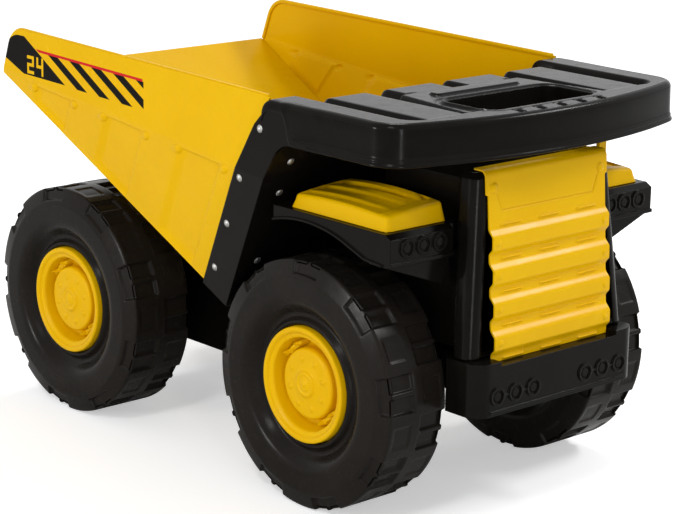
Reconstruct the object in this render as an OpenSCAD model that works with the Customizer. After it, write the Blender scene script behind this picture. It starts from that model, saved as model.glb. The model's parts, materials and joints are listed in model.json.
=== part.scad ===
// Toy dump truck: pressed steel dump bed that tips about a rear hinge, a ribbed grille,
// fenders with finned covers, and four free-running wheels.
// Millimetres, +X forward, +Z up; the origin is the middle of the ground under the truck.

/* [Chassis] */
// Distance between the front and rear axles
wheelbase = 269; // [262:1:276]
// Distance from the middle of the truck to the front axle
front_axle_x = 117.75; // [115:0.25:120]
// Half width of the chassis channel
chassis_half_w = 50; // [46:1:52]
// Height of the chassis top above the ground
chassis_top_z = 118; // [114:1:119]
// Height of the chassis underside above the ground
chassis_bottom_z = 54; // [48:1:60]
// Wall of the chassis moulding
chassis_wall = 4; // [3:0.5:6]
// Distance from the rear axle back to the rear end of the chassis
chassis_tail = 34; // [26:1:40]

/* [Wheels] */
// Outer radius of a tyre over its tread
tyre_r = 85.5; // [83:0.5:86]
// Width of a tyre
tyre_w = 56; // [50:1:58]
// Distance from the middle plane to the outer face of a tyre
tyre_face_y = 126; // [124:1:128]
// Depth of the pockets moulded into the tread
pocket_depth = 2.6; // [1.5:0.1:3]
// Pockets in each half of the tread
pocket_count = 9; // [7:1:10]
// Angle that one pocket spans
pocket_angle = 17.5; // [14:0.5:20]
// Width of the rib across the middle of a pocket
pocket_rib_w = 4; // [3:0.5:6]
// Side of the shallow squares between the pockets
square_w = 15; // [10:1:18]
// Width of the sloping shoulder between the side and the tread
shoulder_w = 11.5; // [8:0.5:13]
// Wall of the blow-moulded tyre
tyre_wall = 3; // [2:0.5:4]
// Outer radius of the wheel hub
hub_r = 40; // [34:1:44]
// Wall of the wheel hub
hub_wall = 2; // [1.5:0.25:3]
// Depth of the dish in the wheel hub
hub_dish = 14; // [8:1:15]
// Radius of the raised disc inside the wheel hub
disc_r = 24.5; // [20:0.5:26]
// Depth of the disc's face below the hub's rim
disc_drop = 4.6; // [3:0.2:8]
// Radius of the axle rods
axle_r = 4; // [3:0.5:5]
// Radial clearance of a wheel or a bracket on its rod
running_gap = 0.05; // [0.02:0.01:0.1]

/* [Dump bed] */
// Reach of the bed's tail behind the middle of the truck
tail_reach = 223.25; // [218:0.25:228]
// Height of the floor at the tail
tail_z = 250; // [246:1:254]
// Height of the ears above the ground
ear_z = 286; // [281:1:290]
// Radius of the ear corner
ear_r = 21; // [16:1:30]
// Forward lean of the ear's rear edge, in degrees
ear_lean = 20; // [14:1:26]
// Height of the side rim at the front
rim_front_z = 280; // [276:1:283]
// Half width over the side rims at the front
bed_half_w = 135; // [131:1:138]
// Angle at which the sides close in towards the tail
side_taper = 1.36; // [0.5:0.1:2.5]
// Slope of the floor
floor_angle = 27; // [26:0.5:28]
// Distance forward of the middle at which the bulkhead meets the floor
bulkhead_foot_x = 29.75; // [26:0.25:32]
// Forward lean of the bulkhead from the vertical
bulkhead_lean = 31.8; // [29:0.5:33]
// Height of the bend between the upper belt and the lower panel
bend_z = 228; // [220:1:236]
// Inward tilt of the lower panel
panel_tilt = 10.4; // [6:0.5:13]
// Plan angle of the lower panel
panel_taper = 2.35; // [1.8:0.05:3]
// Number of pressed panels on each side
panel_count = 3; // [1:1:3]
// Distance from the bend's front end back to the front panel
panel_front_gap = 33.25; // [31:0.25:38]
// Pitch of the pressed panels
panel_pitch = 88.5; // [80:0.5:95]
// Length of a pressed panel
panel_l = 30; // [24:1:40]
// Length of the ramp at the rear of a panel
ramp_l = 14; // [8:1:20]
// Thickness of the bed's steel sheet
sheet_t = 1.2; // [1:0.1:2]
// Depth to which the side panels are pressed in
press_depth = 0.9; // [0.4:0.1:1]
// Width of the rolled hem along the rim
hem_w = 3; // [2:0.5:5]
// Radius of the dimples under the bend
dimple_r = 3.2; // [2:0.2:5]

/* [Canopy and bulkhead] */
// Height of the canopy's top
canopy_z = 277.5; // [275:0.5:280]
// Reach of the canopy's lip in front of the middle of the truck
canopy_reach = 236.75; // [234:0.25:240]
// Radius of the canopy's front corners
canopy_corner_r = 24; // [18:1:30]
// Radius of the canopy's bowed front edge
bow_r = 390; // [340:10:600]
// Height of the bottom of the canopy's skirt
skirt_z = 250; // [247:1:254]
// Wall of the black moulding
moulding_wall = 2.5; // [2:0.25:3.5]
// Width of the flange riveted to the bed's sides
flange_w = 27; // [22:1:34]
// Fillet between the skirt and the flange
arch_r = 20; // [10:1:30]
// Depth of the channels in the top
channel_depth = 7; // [4:0.5:8]
// Length of the hand-hold opening, fore and aft
hold_l = 47; // [40:1:50]
// Width of the hand-hold opening
hold_w = 102; // [80:1:106]
// Number of finger grips on the front border
grip_count = 5; // [3:1:6]
// Pitch of the finger grips
grip_pitch = 19; // [14:1:22]
// Radius of the rivet heads
rivet_r = 2.8; // [2:0.2:4]

// Height of the lowest rivet on a flange above the bulkhead's foot
flange_rivet_low = 26; // [20:1:30]
// Pitch of the rivets on a flange
flange_rivet_pitch = 36.5; // [34:0.5:38]
// Distance of the flange's rivets from its rear edge
flange_rivet_in = 7.5; // [6:0.5:9]
// Distance of the bulkhead's own rivets from its side edges
bulkhead_rivet_in = 14; // [10:1:20]

/* [Hinge] */
// Height of the hinge pin
hinge_z = 165; // [160:1:170]
// Distance of the hinge pin behind the rear axle
hinge_back = 16; // [12:0.5:20]
// Radius of the hinge pin
hinge_pin_r = 4; // [3:0.5:5]
// Distance between the outer faces of the two hinge brackets
bracket_span = 78; // [70:1:84]
// Thickness of the hinge brackets
bracket_t = 3; // [2:0.5:4]

/* [Front end] */
// Distance from the front tyres forward to the bumper's face
nose_l = 32; // [29:0.25:34]
// Height of the bumper's lower edge
bumper_z = 81; // [76:1:90]
// Height of the bumper
bumper_h = 36; // [32:1:40]
// Half width of the bumper
bumper_half_w = 77; // [72:1:80]
// Half width of the engine housing at its top
housing_top_half_w = 64; // [60:1:66]
// Half width of the engine housing at its bottom
housing_foot_half_w = 75; // [70:1:76]
// Height of the engine housing
housing_top_z = 238; // [234:1:242]
// Half width of the grille
grille_half_w = 55.5; // [50:0.5:58]
// Height of the lowest grille rib
rib_z = 131.5; // [128:0.5:135]
// Pitch of the grille ribs
rib_pitch = 22; // [20:0.5:23]
// Height by which a rib stands out
rib_h = 4; // [2:0.5:5]
// Thickness of the grille's sheet
grille_t = 1.2; // [1:0.1:2]
// Radius of the round lamps
lamp_r = 6.3; // [5:0.1:7]

/* [Fenders and cab] */
// Half width over the fenders
fender_half_w = 125; // [122:1:128]
// Height of the seam between fender and cover
cover_z = 204.5; // [202:0.5:207]
// Height of the cover's crown over the seam
cover_h = 12; // [9:0.5:14]
// Distance from the front axle back to the rear end of the cover
cover_back = 18; // [12:1:22]
// Distance from the front axle forward to the front end of the cover
cover_front = 76; // [70:1:80]
// Length of the fender behind its cover
fender_tail = 11; // [8:1:14]
// Length of the fender in front of its cover
fender_nose = 8; // [7:0.5:10]
// Height of the lamp box at the fender's front
lamp_box_h = 20; // [18:0.5:22]
// Thickness of the fender over its arch
arch_t = 6.2; // [5:0.2:8]
// Distance of the middle lamp on a fender from the middle plane
fender_lamp_y = 96; // [94:0.5:98]
// Wall of the fender and cover mouldings
fender_wall = 2.5; // [2:0.25:3.5]
// Radius of the fins on the covers
fin_r = 4.2; // [3:0.2:5]
// Length of the cab
cab_l = 62; // [50:1:66]
// Width of the cab
cab_w = 42; // [36:1:44]
// Height of the cab's roof above the ground
cab_roof_z = 247; // [242:1:248]
// Wall of the cab moulding
cab_wall = 2.5; // [2:0.25:3.5]

/* [Hidden] */
$fn = 64;

rear_axle_x = front_axle_x - wheelbase;
axle_z = tyre_r;
wheel_mid_y = tyre_face_y - tyre_w / 2;
big = 400;            // longer than any piece, for cutting blocks
seat_gap = 0.3;       // clearance between pieces that lie against each other
web_out = 8;          // outer face of a tyre's web, from the wheel's middle plane
skin = 0.1;           // depth by which a raised form is sunk into its carrier
hinge_x = rear_axle_x - hinge_back;
bumper_reach = front_axle_x + tyre_r + nose_l;
tail_x = -tail_reach;

// ---------------------------------------------------------------- helpers

// Extrudes an outline drawn in X and Z along Y, centred on the middle plane
module along_y(width) { rotate([90, 0, 0]) linear_extrude(width, center = true) children(); }

// Extrudes an outline drawn in X and Z from y0 to y1
module span_y(y0, y1) { translate([0, y1, 0]) rotate([90, 0, 0]) linear_extrude(y1 - y0) children(); }

// Extrudes an outline drawn in Y and Z from x0 to x1
module span_x(x0, x1) {
    translate([x0, 0, 0]) rotate([90, 0, 90]) linear_extrude(x1 - x0) children();
}

// A round bar along Y
module bar_y(r, y0, y1) { translate([0, y0, 0]) rotate([-90, 0, 0]) cylinder(r = r, h = y1 - y0); }

// Repeats a piece made for the left side on both sides
module both_sides() { children(); mirror([0, 1, 0]) children(); }

// Points on an arc, from angle a0 to a1 in the given number of steps
function arc(cx, cy, r, a0, a1, steps) =
    [for (i = [0:steps]) let (a = a0 + (a1 - a0) * i / steps) [cx + r * cos(a), cy + r * sin(a)]];

// ---------------------------------------------------------------- dump bed geometry

// Floor height and bulkhead position, both as straight lines in the side view
function floor_z(x) = tail_z - (x - tail_x) * tan(floor_angle);
bulkhead_foot_z = floor_z(bulkhead_foot_x);
function bulkhead_x(z) = bulkhead_foot_x + (z - bulkhead_foot_z) * tan(bulkhead_lean);
lean_w = 1 / cos(bulkhead_lean);     // horizontal width of a wall that leans with the bulkhead
bed_front_gap = moulding_wall + seat_gap;
rim_front_x = bulkhead_x(canopy_z) - flange_w * lean_w;
tucked_z = canopy_z - moulding_wall - 3;   // top of the sides where the canopy covers them
bend_x = bulkhead_foot_x + 17;
panel_drop = 2.5;     // distance from the bend down to a panel's top
bend_half_w = bed_half_w - (rim_front_x - bend_x) * tan(side_taper);

// The block between the bed's side planes, moved inwards by the inset
module between_sides(inset) {
    intersection() {
        both_sides_of_belt(inset);
        both_sides_of_panel(inset);
    }
}
module both_sides_of_belt(inset) {
    intersection_for (side = [0, 1])
        mirror([0, side, 0])
            translate([rim_front_x, bed_half_w - inset, 0])
                rotate([0, 0, side_taper])
                    translate([-big, -big, -big]) cube([2 * big, big, 2 * big]);
}
module both_sides_of_panel(inset) {
    intersection_for (side = [0, 1])
        mirror([0, side, 0])
            on_panel()
                translate([-big, -big - inset, -big]) cube([2 * big, big, 2 * big]);
}

// The lower panel's own axes on the left side: X along it, Y out of it, Z up it
module on_panel() {
    translate([bend_x, bend_half_w, bend_z]) rotate([-panel_tilt, 0, panel_taper]) children();
}

// Middle of the ear's corner: the corner touches the leaning rear edge and the rim
ear_x = tail_x + (ear_z - tail_z) * tan(ear_lean) + ear_r * tan(45 - ear_lean / 2);

// Side view of the bed with its rim and ear drawn in by the inset
function bed_outline(inset, below, beyond) = concat(
    [[tail_x + inset / cos(ear_lean) - below * tan(ear_lean), tail_z - below]],
    arc(ear_x, ear_z - ear_r, ear_r - inset, 180 - ear_lean, 90, 8),
    [[rim_front_x + beyond, rim_front_z - inset]],
    [[rim_front_x + beyond, tucked_z - inset]],
    [[bulkhead_x(tucked_z) + beyond, tucked_z - inset]],
    [[bulkhead_x(bulkhead_foot_z) + beyond, bulkhead_foot_z - below]]
);

// Outer block of the bed, up to the inner face of the bulkhead
module bed_block() {
    intersection() {
        along_y(2 * big) difference() {
            polygon(bed_outline(0, 0, 0));
            bulkhead_cut(bed_front_gap);
        }
        between_sides(0);
    }
}

// Everything forward of the bulkhead's front face, moved back by the gap
module bulkhead_cut(gap) {
    shift = gap * lean_w;
    polygon([
        [bulkhead_x(0) - shift, 0],
        [bulkhead_x(big) - shift, big],
        [2 * big, big],
        [2 * big, 0]
    ]);
}

// Room inside the bed
module bed_room() {
    intersection() {
        along_y(2 * big) polygon([
            [tail_x - big, floor_z(tail_x - big) + sheet_t / cos(floor_angle)],
            [tail_x - big, big],
            [big, big],
            [big, floor_z(big) + sheet_t / cos(floor_angle)]
        ]);
        between_sides(sheet_t);
    }
}

// Climb of the bend between belt and panel towards the tail, seen from the side
bend_slope = (tan(panel_taper) - tan(side_taper)) * cos(panel_taper) / tan(panel_tilt);

// Pressed side panels that lean with the bulkhead: a long ramp at the rear, a step at the front
module pressed_panels() {
    for (i = [0:panel_count - 1]) {
        u = -panel_front_gap - i * panel_pitch;
        intersection() {
            translate([u, 0, -u * bend_slope])
                rotate([0, bulkhead_lean, 0])
                    translate([0, 0, -big / 2])
                        linear_extrude(big)
                            polygon([
                                [-ramp_l, skin],
                                [-ramp_l, 0],
                                [-ramp_l / 4, -press_depth],
                                [panel_l - 1, -press_depth],
                                [panel_l, skin]
                            ]);
            translate([-big, -press_depth - skin, -big])
                cube([2 * big, 2 * press_depth, big - u * bend_slope - panel_drop]);
        }
    }
}

// A dimple at each side of every panel, just under the bend
module dimples() {
    sink = 0.6 * dimple_r;
    for (i = [0:panel_count - 1])
        for (step = [-ramp_l - dimple_r / 2, panel_l + 3 * dimple_r]) {
            u = step - panel_front_gap - i * panel_pitch;
            translate([u, -sink, -u * bend_slope - dimple_r - 1]) sphere(r = dimple_r, $fn = 24);
        }
}

module bed_shell() {
    color("gold") {
        difference() {
            bed_block();
            bed_room();
            both_sides() on_panel() pressed_panels();
            both_sides() at_flange_rivets() rivet_hole();
            both_sides() at_bracket_rivets()
                translate([0, 0, -6]) cylinder(r = bracket_rivet_r + running_gap, h = 12, $fn = 24);
        }
        intersection() {
            bed_block();
            difference() {
                both_sides() on_panel() translate([0, -sheet_t, 0]) pressed_panels();
                along_y(2 * big) polygon([
                    [tail_x - big, floor_z(tail_x - big) - big],
                    [tail_x - big, floor_z(tail_x - big)],
                    [big, floor_z(big)],
                    [big, floor_z(big) - big]
                ]);
            }
        }
        rim_hem();
        both_sides() on_panel() dimples();
    }
}

// Rolled hem along the rim and round the ears
module rim_hem() {
    roll = 0.7;
    hem_rise = 4;       // height above the tail at which the hem begins
    intersection() {
        along_y(2 * big) difference() {
            polygon(bed_outline(0, 0, 0));
            polygon(bed_outline(hem_w, 20, 20));
            bulkhead_cut(flange_w + 1);
            translate([tail_x - 1, 0]) square([2 * ear_r, tail_z + hem_rise]);
        }
        difference() {
            between_sides(-roll);
            between_sides(sheet_t + roll);
        }
    }
}

// ---------------------------------------------------------------- canopy and bulkhead

lip_w = 2;                            // flare of the lip under the skirt
lip_h = 2.5;
canopy_front_x = canopy_reach - lip_w;
canopy_half_w = bed_half_w + seat_gap + moulding_wall - 0.6;
recess_half_w = 116;                  // half width of the sunk field in the top
bow_turn = asin((canopy_half_w - canopy_corner_r) / (bow_r - canopy_corner_r));
bow_depth = (bow_r - canopy_corner_r) * (1 - cos(bow_turn));
recess_front_x = canopy_front_x - bow_depth - 7;
canopy_rear_x = bulkhead_x(canopy_z - channel_depth) - 12;

// Plan view of the canopy, drawn in by the inset: straight sides, round corners, a bowed front
function canopy_plan(inset) =
    let (half = canopy_half_w - inset, corner = canopy_corner_r - inset,
         corner_x = canopy_front_x - bow_r + (bow_r - canopy_corner_r) * cos(bow_turn),
         corner_y = canopy_half_w - canopy_corner_r)
    concat(
        [[rim_front_x, -half]],
        arc(corner_x, -corner_y, corner, -90, -bow_turn, 6),
        arc(canopy_front_x - bow_r, 0, bow_r - inset, -bow_turn * 5 / 6, bow_turn * 5 / 6, 10),
        arc(corner_x, corner_y, corner, bow_turn, 90, 6),
        [[rim_front_x, half]]
    );

// The canopy's outer block with its rounded top edge, or its room when drawn in by a wall
module canopy_block(wall) {
    top = canopy_z - wall;
    hull() {
        translate([0, 0, skirt_z - wall]) linear_extrude(top - 7 - skirt_z + wall) polygon(canopy_plan(wall));
        translate([0, 0, top - 3.5]) linear_extrude(1) polygon(canopy_plan(wall + 1.6));
        translate([0, 0, top - 1]) linear_extrude(1) polygon(canopy_plan(wall + 4.5));
    }
}

// Deck in the middle of the top, wider at its front
deck_rear_half_w = 57;
deck_front_half_w = 68;
deck_rear_x = canopy_rear_x + 22;
hump_inner = 66;
hump_outer = 103;
channel_r = 6;

// Plan views of the raised forms in the sunk field
module deck_plan() {
    polygon([
        [deck_rear_x, -deck_rear_half_w + 6], [deck_rear_x + 8, -deck_rear_half_w],
        [recess_front_x + 1, -deck_front_half_w], [recess_front_x + 1, deck_front_half_w],
        [deck_rear_x + 8, deck_rear_half_w], [deck_rear_x, deck_rear_half_w - 6]
    ]);
}
module hump_plan(y0, y1) { translate([canopy_rear_x - 1, y0]) square([recess_front_x - canopy_rear_x + 2, y1 - y0]); }

// The sunk field with rounded front corners
module field_plan(half, front) {
    difference() {
        translate([canopy_rear_x - 40, -half]) square([front - canopy_rear_x + 40, 2 * half]);
        for (side = [-1, 1])
            translate([front - 2 * channel_r, side * (half - 2 * channel_r)])
                difference() {
                    translate([0, min(0, side * 3 * channel_r)]) square([3 * channel_r, 3 * channel_r]);
                    circle(r = 2 * channel_r);
                }
    }
}

hold_front_x = canopy_front_x - bow_depth - 2;
hold_rear_x = hold_front_x - hold_l;
hold_depth = 14;
module hold_plan(grow) {
    corner = 9 + grow;
    translate([hold_rear_x - grow, -hold_w / 2 - grow])
        rounded_square(hold_l + 2 * grow, hold_w + 2 * grow, corner);
}
module rounded_square(l, w, r) {
    translate([r, 0]) square([l - 2 * r, w]);
    translate([0, r]) square([l, w - 2 * r]);
    for (x = [r, l - r], y = [r, w - r]) translate([x, y]) circle(r = r);
}

module canopy_top() {
    floor_top = canopy_z - channel_depth;
    difference() {
        union() {
            difference() {
                canopy_block(0);
                canopy_block(moulding_wall);
                // open at the rear between the side strips
                translate([0, -recess_half_w, 0]) cube([canopy_rear_x, 2 * recess_half_w, big]);
            }
            intersection() {
                canopy_block(1);
                translate([0, 0, floor_top - moulding_wall])
                    linear_extrude(channel_depth + moulding_wall - 0.5) field_plan(recess_half_w + moulding_wall, recess_front_x + moulding_wall);
                translate([canopy_rear_x, -big, 0]) cube([big, 2 * big, big]);
            }
            // wall that hangs down round the hand-hold
            translate([0, 0, canopy_z - hold_depth]) linear_extrude(hold_depth - 1) hold_plan(moulding_wall);
        }
        // channels sunk in the top
        translate([0, 0, floor_top])
            linear_extrude(big)
                difference() {
                    field_plan(recess_half_w, recess_front_x);
                    deck_plan();
                    for (side = [-1, 1]) mirror([0, side < 0 ? 1 : 0]) {
                        hump_plan(hump_inner, hump_outer);
                        hump_plan(6, deck_rear_half_w - 6);
                    }
                }
        // humps and deck are a little lower than the rim
        translate([canopy_rear_x - 1, -recess_half_w, canopy_z - 1.5])
            cube([recess_front_x - canopy_rear_x - 2, 2 * recess_half_w, 5]);
        // hollows under the humps and the deck
        under_z = floor_top - moulding_wall - 1;
        under_h = channel_depth + 1 - 1.5;
        for (side = [0, 1])
            mirror([0, side, 0])
                translate([canopy_rear_x + moulding_wall, hump_inner + moulding_wall, under_z])
                    cube([recess_front_x - canopy_rear_x - moulding_wall, hump_outer - hump_inner - 2 * moulding_wall, under_h]);
        translate([0, 0, -1]) linear_extrude(canopy_z + 5) hold_plan(0);
    }
}

foot_drop = 2;        // depth of the bulkhead's foot below the bed's floor

// Flanges down the bed's sides, the sloping bulkhead between them, and the arch under the skirt
module bulkhead() {
    rear_shift = flange_w * lean_w;
    foot_z = bulkhead_foot_z - foot_drop;
    foot_x = bulkhead_x(foot_z);
    head_z = canopy_z - channel_depth - 1;
    rear_run = rear_shift / (1 + tan(floor_angle) * tan(bulkhead_lean));
    arch_z = skirt_z - arch_r;
    arch_x = bulkhead_x(arch_z) + arch_r * lean_w;
    difference() {
        union() {
            intersection() {
                along_y(2 * big) difference() {
                    polygon([
                        [foot_x - rear_run, foot_z + rear_run * tan(floor_angle)],
                        [bulkhead_x(canopy_z) - rear_shift, canopy_z],
                        [arch_x + arch_r, canopy_z],
                        [arch_x + arch_r, skirt_z - big],
                        [foot_x, foot_z]
                    ]);
                    polygon(concat(
                        arc(arch_x, arch_z, arch_r, 180 - bulkhead_lean, 90, 8),
                        [[big, skirt_z], [big, -big], [bulkhead_x(-big), -big]]
                    ));
                }
                difference() {
                    between_sides(-seat_gap - moulding_wall);
                    between_sides(-seat_gap);
                }
                translate([-big, -big, 0]) cube([2 * big, 2 * big, canopy_z - 2]);
            }
            intersection() {
                along_y(2 * big) polygon([
                    [foot_x - moulding_wall * lean_w, foot_z],
                    [bulkhead_x(head_z) - moulding_wall * lean_w, head_z],
                    [bulkhead_x(head_z), head_z],
                    [foot_x, foot_z]
                ]);
                between_sides(-seat_gap - 0.5 * moulding_wall);
            }
        }
    }
}

// Flared lip round the foot of the skirt
module canopy_lip() {
    start_x = bulkhead_x(skirt_z) + arch_r * lean_w;
    translate([0, 0, skirt_z])
        linear_extrude(lip_h)
            difference() {
                polygon(canopy_plan(-lip_w));
                polygon(canopy_plan(moulding_wall));
                translate([0, -big]) square([start_x, 2 * big]);
            }
}

// Finger grips: short grooves across the front border of the top
module finger_grips() {
    for (i = [0:grip_count - 1]) {
        y = (i - (grip_count - 1) / 2) * grip_pitch;
        translate([hold_front_x + 5, y, canopy_z - 1.2]) cube([12, 1.6, 3]);
        translate([hold_front_x + 5, y, canopy_z - 1.2]) cube([1.6, 8, 3]);
        translate([hold_front_x + 15, y, canopy_z - 1.2]) cube([1.6, 8, 3]);
    }
}

// Room for the bed's sides where they run up inside the canopy
module tucked_sides() {
    rear_face = moulding_wall * lean_w;
    intersection() {
        along_y(2 * big) polygon([
            [rim_front_x - 1, skirt_z - arch_r], [rim_front_x - 1, tucked_z + seat_gap],
            [bulkhead_x(tucked_z + seat_gap) - rear_face, tucked_z + seat_gap],
            [bulkhead_x(skirt_z - arch_r) - rear_face, skirt_z - arch_r]
        ]);
        difference() {
            between_sides(-seat_gap);
            between_sides(sheet_t + 1);
        }
    }
}

module canopy_bulkhead() {
    color("dimgray") {
        difference() {
            union() {
                canopy_top();
                bulkhead();
                canopy_lip();
            }
            finger_grips();
            tucked_sides();
            both_sides() at_flange_rivets() rivet_hole();
            at_bulkhead_rivets() rivet_hole();
        }
    }
}

// ---------------------------------------------------------------- rivets

rivet_shank_r = 1.6;
rivet_grip = moulding_wall + sheet_t + seat_gap;

// A blind rivet: domed head, shank through both sheets, and a swollen tail; Z points out of the face
module rivet(grip) {
    color("silver") {
        intersection() {
            translate([0, 0, -rivet_r * 0.7]) sphere(r = rivet_r * 1.22, $fn = 24);
            translate([0, 0, skin / 2]) cylinder(r = rivet_r, h = rivet_r, $fn = 24);
        }
        translate([0, 0, -grip - 0.6]) cylinder(r = rivet_shank_r, h = grip + 0.7, $fn = 24);
        translate([0, 0, -grip - 1.6]) cylinder(r = rivet_shank_r + 0.8, h = 1.5, $fn = 24);
    }
}
module rivet_hole() { translate([0, 0, -10]) cylinder(r = rivet_shank_r + running_gap, h = 14, $fn = 24); }

// The belt's own axes on the left side: X along it, Y out of it, Z up it
module on_belt() { translate([rim_front_x, bed_half_w, 0]) rotate([0, 0, side_taper]) children(); }

flange_rivet_z = [for (i = [0:3]) bulkhead_foot_z + flange_rivet_low + i * flange_rivet_pitch];
flange_rivet_back = flange_w * lean_w - flange_rivet_in;
// Places its children on the left flange, with Z out of it
module at_flange_rivets() {
    for (z = flange_rivet_z) {
        x = bulkhead_x(z) - flange_rivet_back;
        if (z > bend_z)
            on_belt() translate([(x - rim_front_x) / cos(side_taper), seat_gap + moulding_wall, z])
                rotate([-90, 0, 0]) children();
        else
            on_panel() translate([(x - bend_x) / cos(panel_taper), seat_gap + moulding_wall, (z - bend_z) / cos(panel_tilt)])
                rotate([-90, 0, 0]) children();
    }
}

bulkhead_rivet_rise = [0.93, 2.44, 3.1];    // heights of the rivets, in pitches of the flange's
bulkhead_rivet_z = [for (rise = bulkhead_rivet_rise) bulkhead_foot_z + rise * flange_rivet_pitch];
// Places its children on the bulkhead's front face near its side edges, with Z out of it
module at_bulkhead_rivets() {
    for (z = bulkhead_rivet_z, side = [-1, 1]) {
        half = bend_half_w - max(0, bend_z - z) * tan(panel_tilt) - bulkhead_rivet_in;
        translate([bulkhead_x(z), side * half, z]) rotate([0, 90 + bulkhead_lean, 0]) children();
    }
}

module flange_rivets_left() { at_flange_rivets() rivet(rivet_grip); }
module flange_rivets_right() { mirror([0, 1, 0]) flange_rivets_left(); }
module bulkhead_rivets() { at_bulkhead_rivets() rivet(moulding_wall); }

// ---------------------------------------------------------------- hinge

bracket_half = bracket_span / 2;
hinge_boss_r = hinge_pin_r + 6;
bracket_l = 46;                       // length of the bracket along the floor
foot_w = 15;                          // width of the bracket's foot under the floor
floor_drop = seat_gap / cos(floor_angle);
bracket_rivet_r = 2;

// Places its children under the floor above the hinge, X along the floor, Z out of its top
module on_floor() { translate([hinge_x, 0, floor_z(hinge_x)]) rotate([0, floor_angle, 0]) children(); }

module hinge_bracket_left() {
    top0 = floor_z(hinge_x - bracket_l / 2) - floor_drop - 1;
    top1 = floor_z(hinge_x + bracket_l / 2) - floor_drop - 1;
    color("dimgray")
        difference() {
            union() {
                span_y(bracket_half - bracket_t, bracket_half) {
                    translate([hinge_x, hinge_z]) circle(r = hinge_boss_r);
                    polygon([
                        [hinge_x - hinge_boss_r * 0.95, hinge_z - 3],
                        [hinge_x - bracket_l / 2 + 2, top0 - 2],
                        [hinge_x + bracket_l / 2 - 2, top1 - 1],
                        [hinge_x + hinge_boss_r * 0.95, hinge_z - 3]
                    ]);
                }
                on_floor()
                    translate([-bracket_l / 2, bracket_half - bracket_t, -seat_gap - bracket_t])
                        cube([bracket_l, foot_w, bracket_t]);
            }
            translate([hinge_x, 0, hinge_z]) bar_y(hinge_pin_r + running_gap, 0, big);
            at_bracket_rivets() translate([0, 0, -20]) cylinder(r = bracket_rivet_r + running_gap, h = 40, $fn = 24);
        }
}
module hinge_bracket_right() { mirror([0, 1, 0]) hinge_bracket_left(); }

// Places its children on the floor at the left bracket's rivets, with Z up out of the floor
module at_bracket_rivets() {
    for (step = [-1, 1])
        on_floor() translate([step * bracket_l * 0.3, bracket_half + foot_w * 0.45, sheet_t]) children();
}

module bracket_rivets() {
    reach = sheet_t + seat_gap + bracket_t;
    color("silver")
        both_sides() at_bracket_rivets() {
            translate([0, 0, skin / 2]) cylinder(r1 = 2 * bracket_rivet_r, r2 = 1.4 * bracket_rivet_r, h = 1.2, $fn = 24);
            translate([0, 0, -reach - 0.5]) cylinder(r = bracket_rivet_r, h = reach + 1, $fn = 24);
            translate([0, 0, -reach - 1.5]) cylinder(r = 1.8 * bracket_rivet_r, h = 1.4, $fn = 24);
        }
}

ear_t = 4;
ear_half = bracket_half - bracket_t - 0.4;      // outer face of the chassis ears
pin_end = bracket_half + 5;
module hinge_pin() {
    color("silver") translate([hinge_x, 0, hinge_z]) bar_y(hinge_pin_r, -pin_end, pin_end);
}

// A pressed cap that grips the end of a rod; Z points along the rod's end
module push_nut(rod_r) {
    difference() {
        cylinder(r = rod_r + 3.5, h = 3, $fn = 32);
        translate([0, 0, -1]) cylinder(r = rod_r + running_gap, h = 3, $fn = 32);
    }
}
module hinge_push_nuts() {
    color("silver")
        both_sides()
            translate([hinge_x, pin_end - 1.9, hinge_z]) rotate([-90, 0, 0]) push_nut(hinge_pin_r);
}

// ---------------------------------------------------------------- chassis

chassis_rear_x = rear_axle_x - chassis_tail;
chassis_front_x = bumper_reach - 23.5;
boss_r = axle_r + 7;
belly_l = 130;
rest_pad_z = bulkhead_foot_z - foot_drop - seat_gap;    // height at which the bed rests

module chassis_frame() {
    color("dimgray")
        difference() {
            union() {
                difference() {
                    translate([chassis_rear_x, -chassis_half_w, chassis_bottom_z])
                        cube([chassis_front_x - chassis_rear_x, 2 * chassis_half_w, chassis_top_z - chassis_bottom_z]);
                    // the nose's underside is level with the bumper's foot
                    translate([front_axle_x + boss_r + 12, -big, 0]) cube([big, 2 * big, bumper_z + 3]);
                    translate([chassis_rear_x + chassis_wall, chassis_wall - chassis_half_w, chassis_bottom_z - 1])
                        cube([
                            chassis_front_x - chassis_rear_x - 2 * chassis_wall,
                            2 * (chassis_half_w - chassis_wall),
                            chassis_top_z - chassis_bottom_z - chassis_wall + 1
                        ]);
                }
                // belly plate
                translate([-belly_l / 2, -chassis_half_w + 1, chassis_bottom_z])
                    cube([belly_l, 2 * chassis_half_w - 2, chassis_wall]);
                // bosses that space the wheels from the frame
                for (x = [front_axle_x, rear_axle_x], side = [0, 1])
                    mirror([0, side, 0])
                        translate([x, 0, axle_z])
                            bar_y(boss_r, chassis_half_w - 1, tyre_face_y - tyre_w - seat_gap);
                // pads that the bed rests on
                for (side = [0, 1])
                    mirror([0, side, 0])
                        translate([bulkhead_foot_x - 18, 20, chassis_top_z - 1])
                            cube([14, 18, rest_pad_z - chassis_top_z + 1]);
                both_sides() hinge_ear();
            }
            for (x = [front_axle_x, rear_axle_x]) translate([x, 0, axle_z]) bar_y(axle_r + running_gap, -big, big);
            translate([hinge_x, 0, hinge_z]) bar_y(hinge_pin_r + running_gap, -big, big);
            at_chassis_screws() translate([0, 0, -10]) cylinder(r = screw_r + 2 * running_gap, h = 20, $fn = 24);
        }
}

// Ear that carries the hinge pin, on the left
module hinge_ear() {
    span_y(ear_half - ear_t, ear_half) {
        translate([hinge_x, hinge_z]) circle(r = hinge_boss_r);
        polygon([
            [chassis_rear_x + 1, chassis_top_z - 1],
            [hinge_x - hinge_boss_r * 0.94, hinge_z],
            [hinge_x + hinge_boss_r * 0.94, hinge_z],
            [hinge_x + 34, chassis_top_z - 1]
        ]);
    }
}

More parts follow.
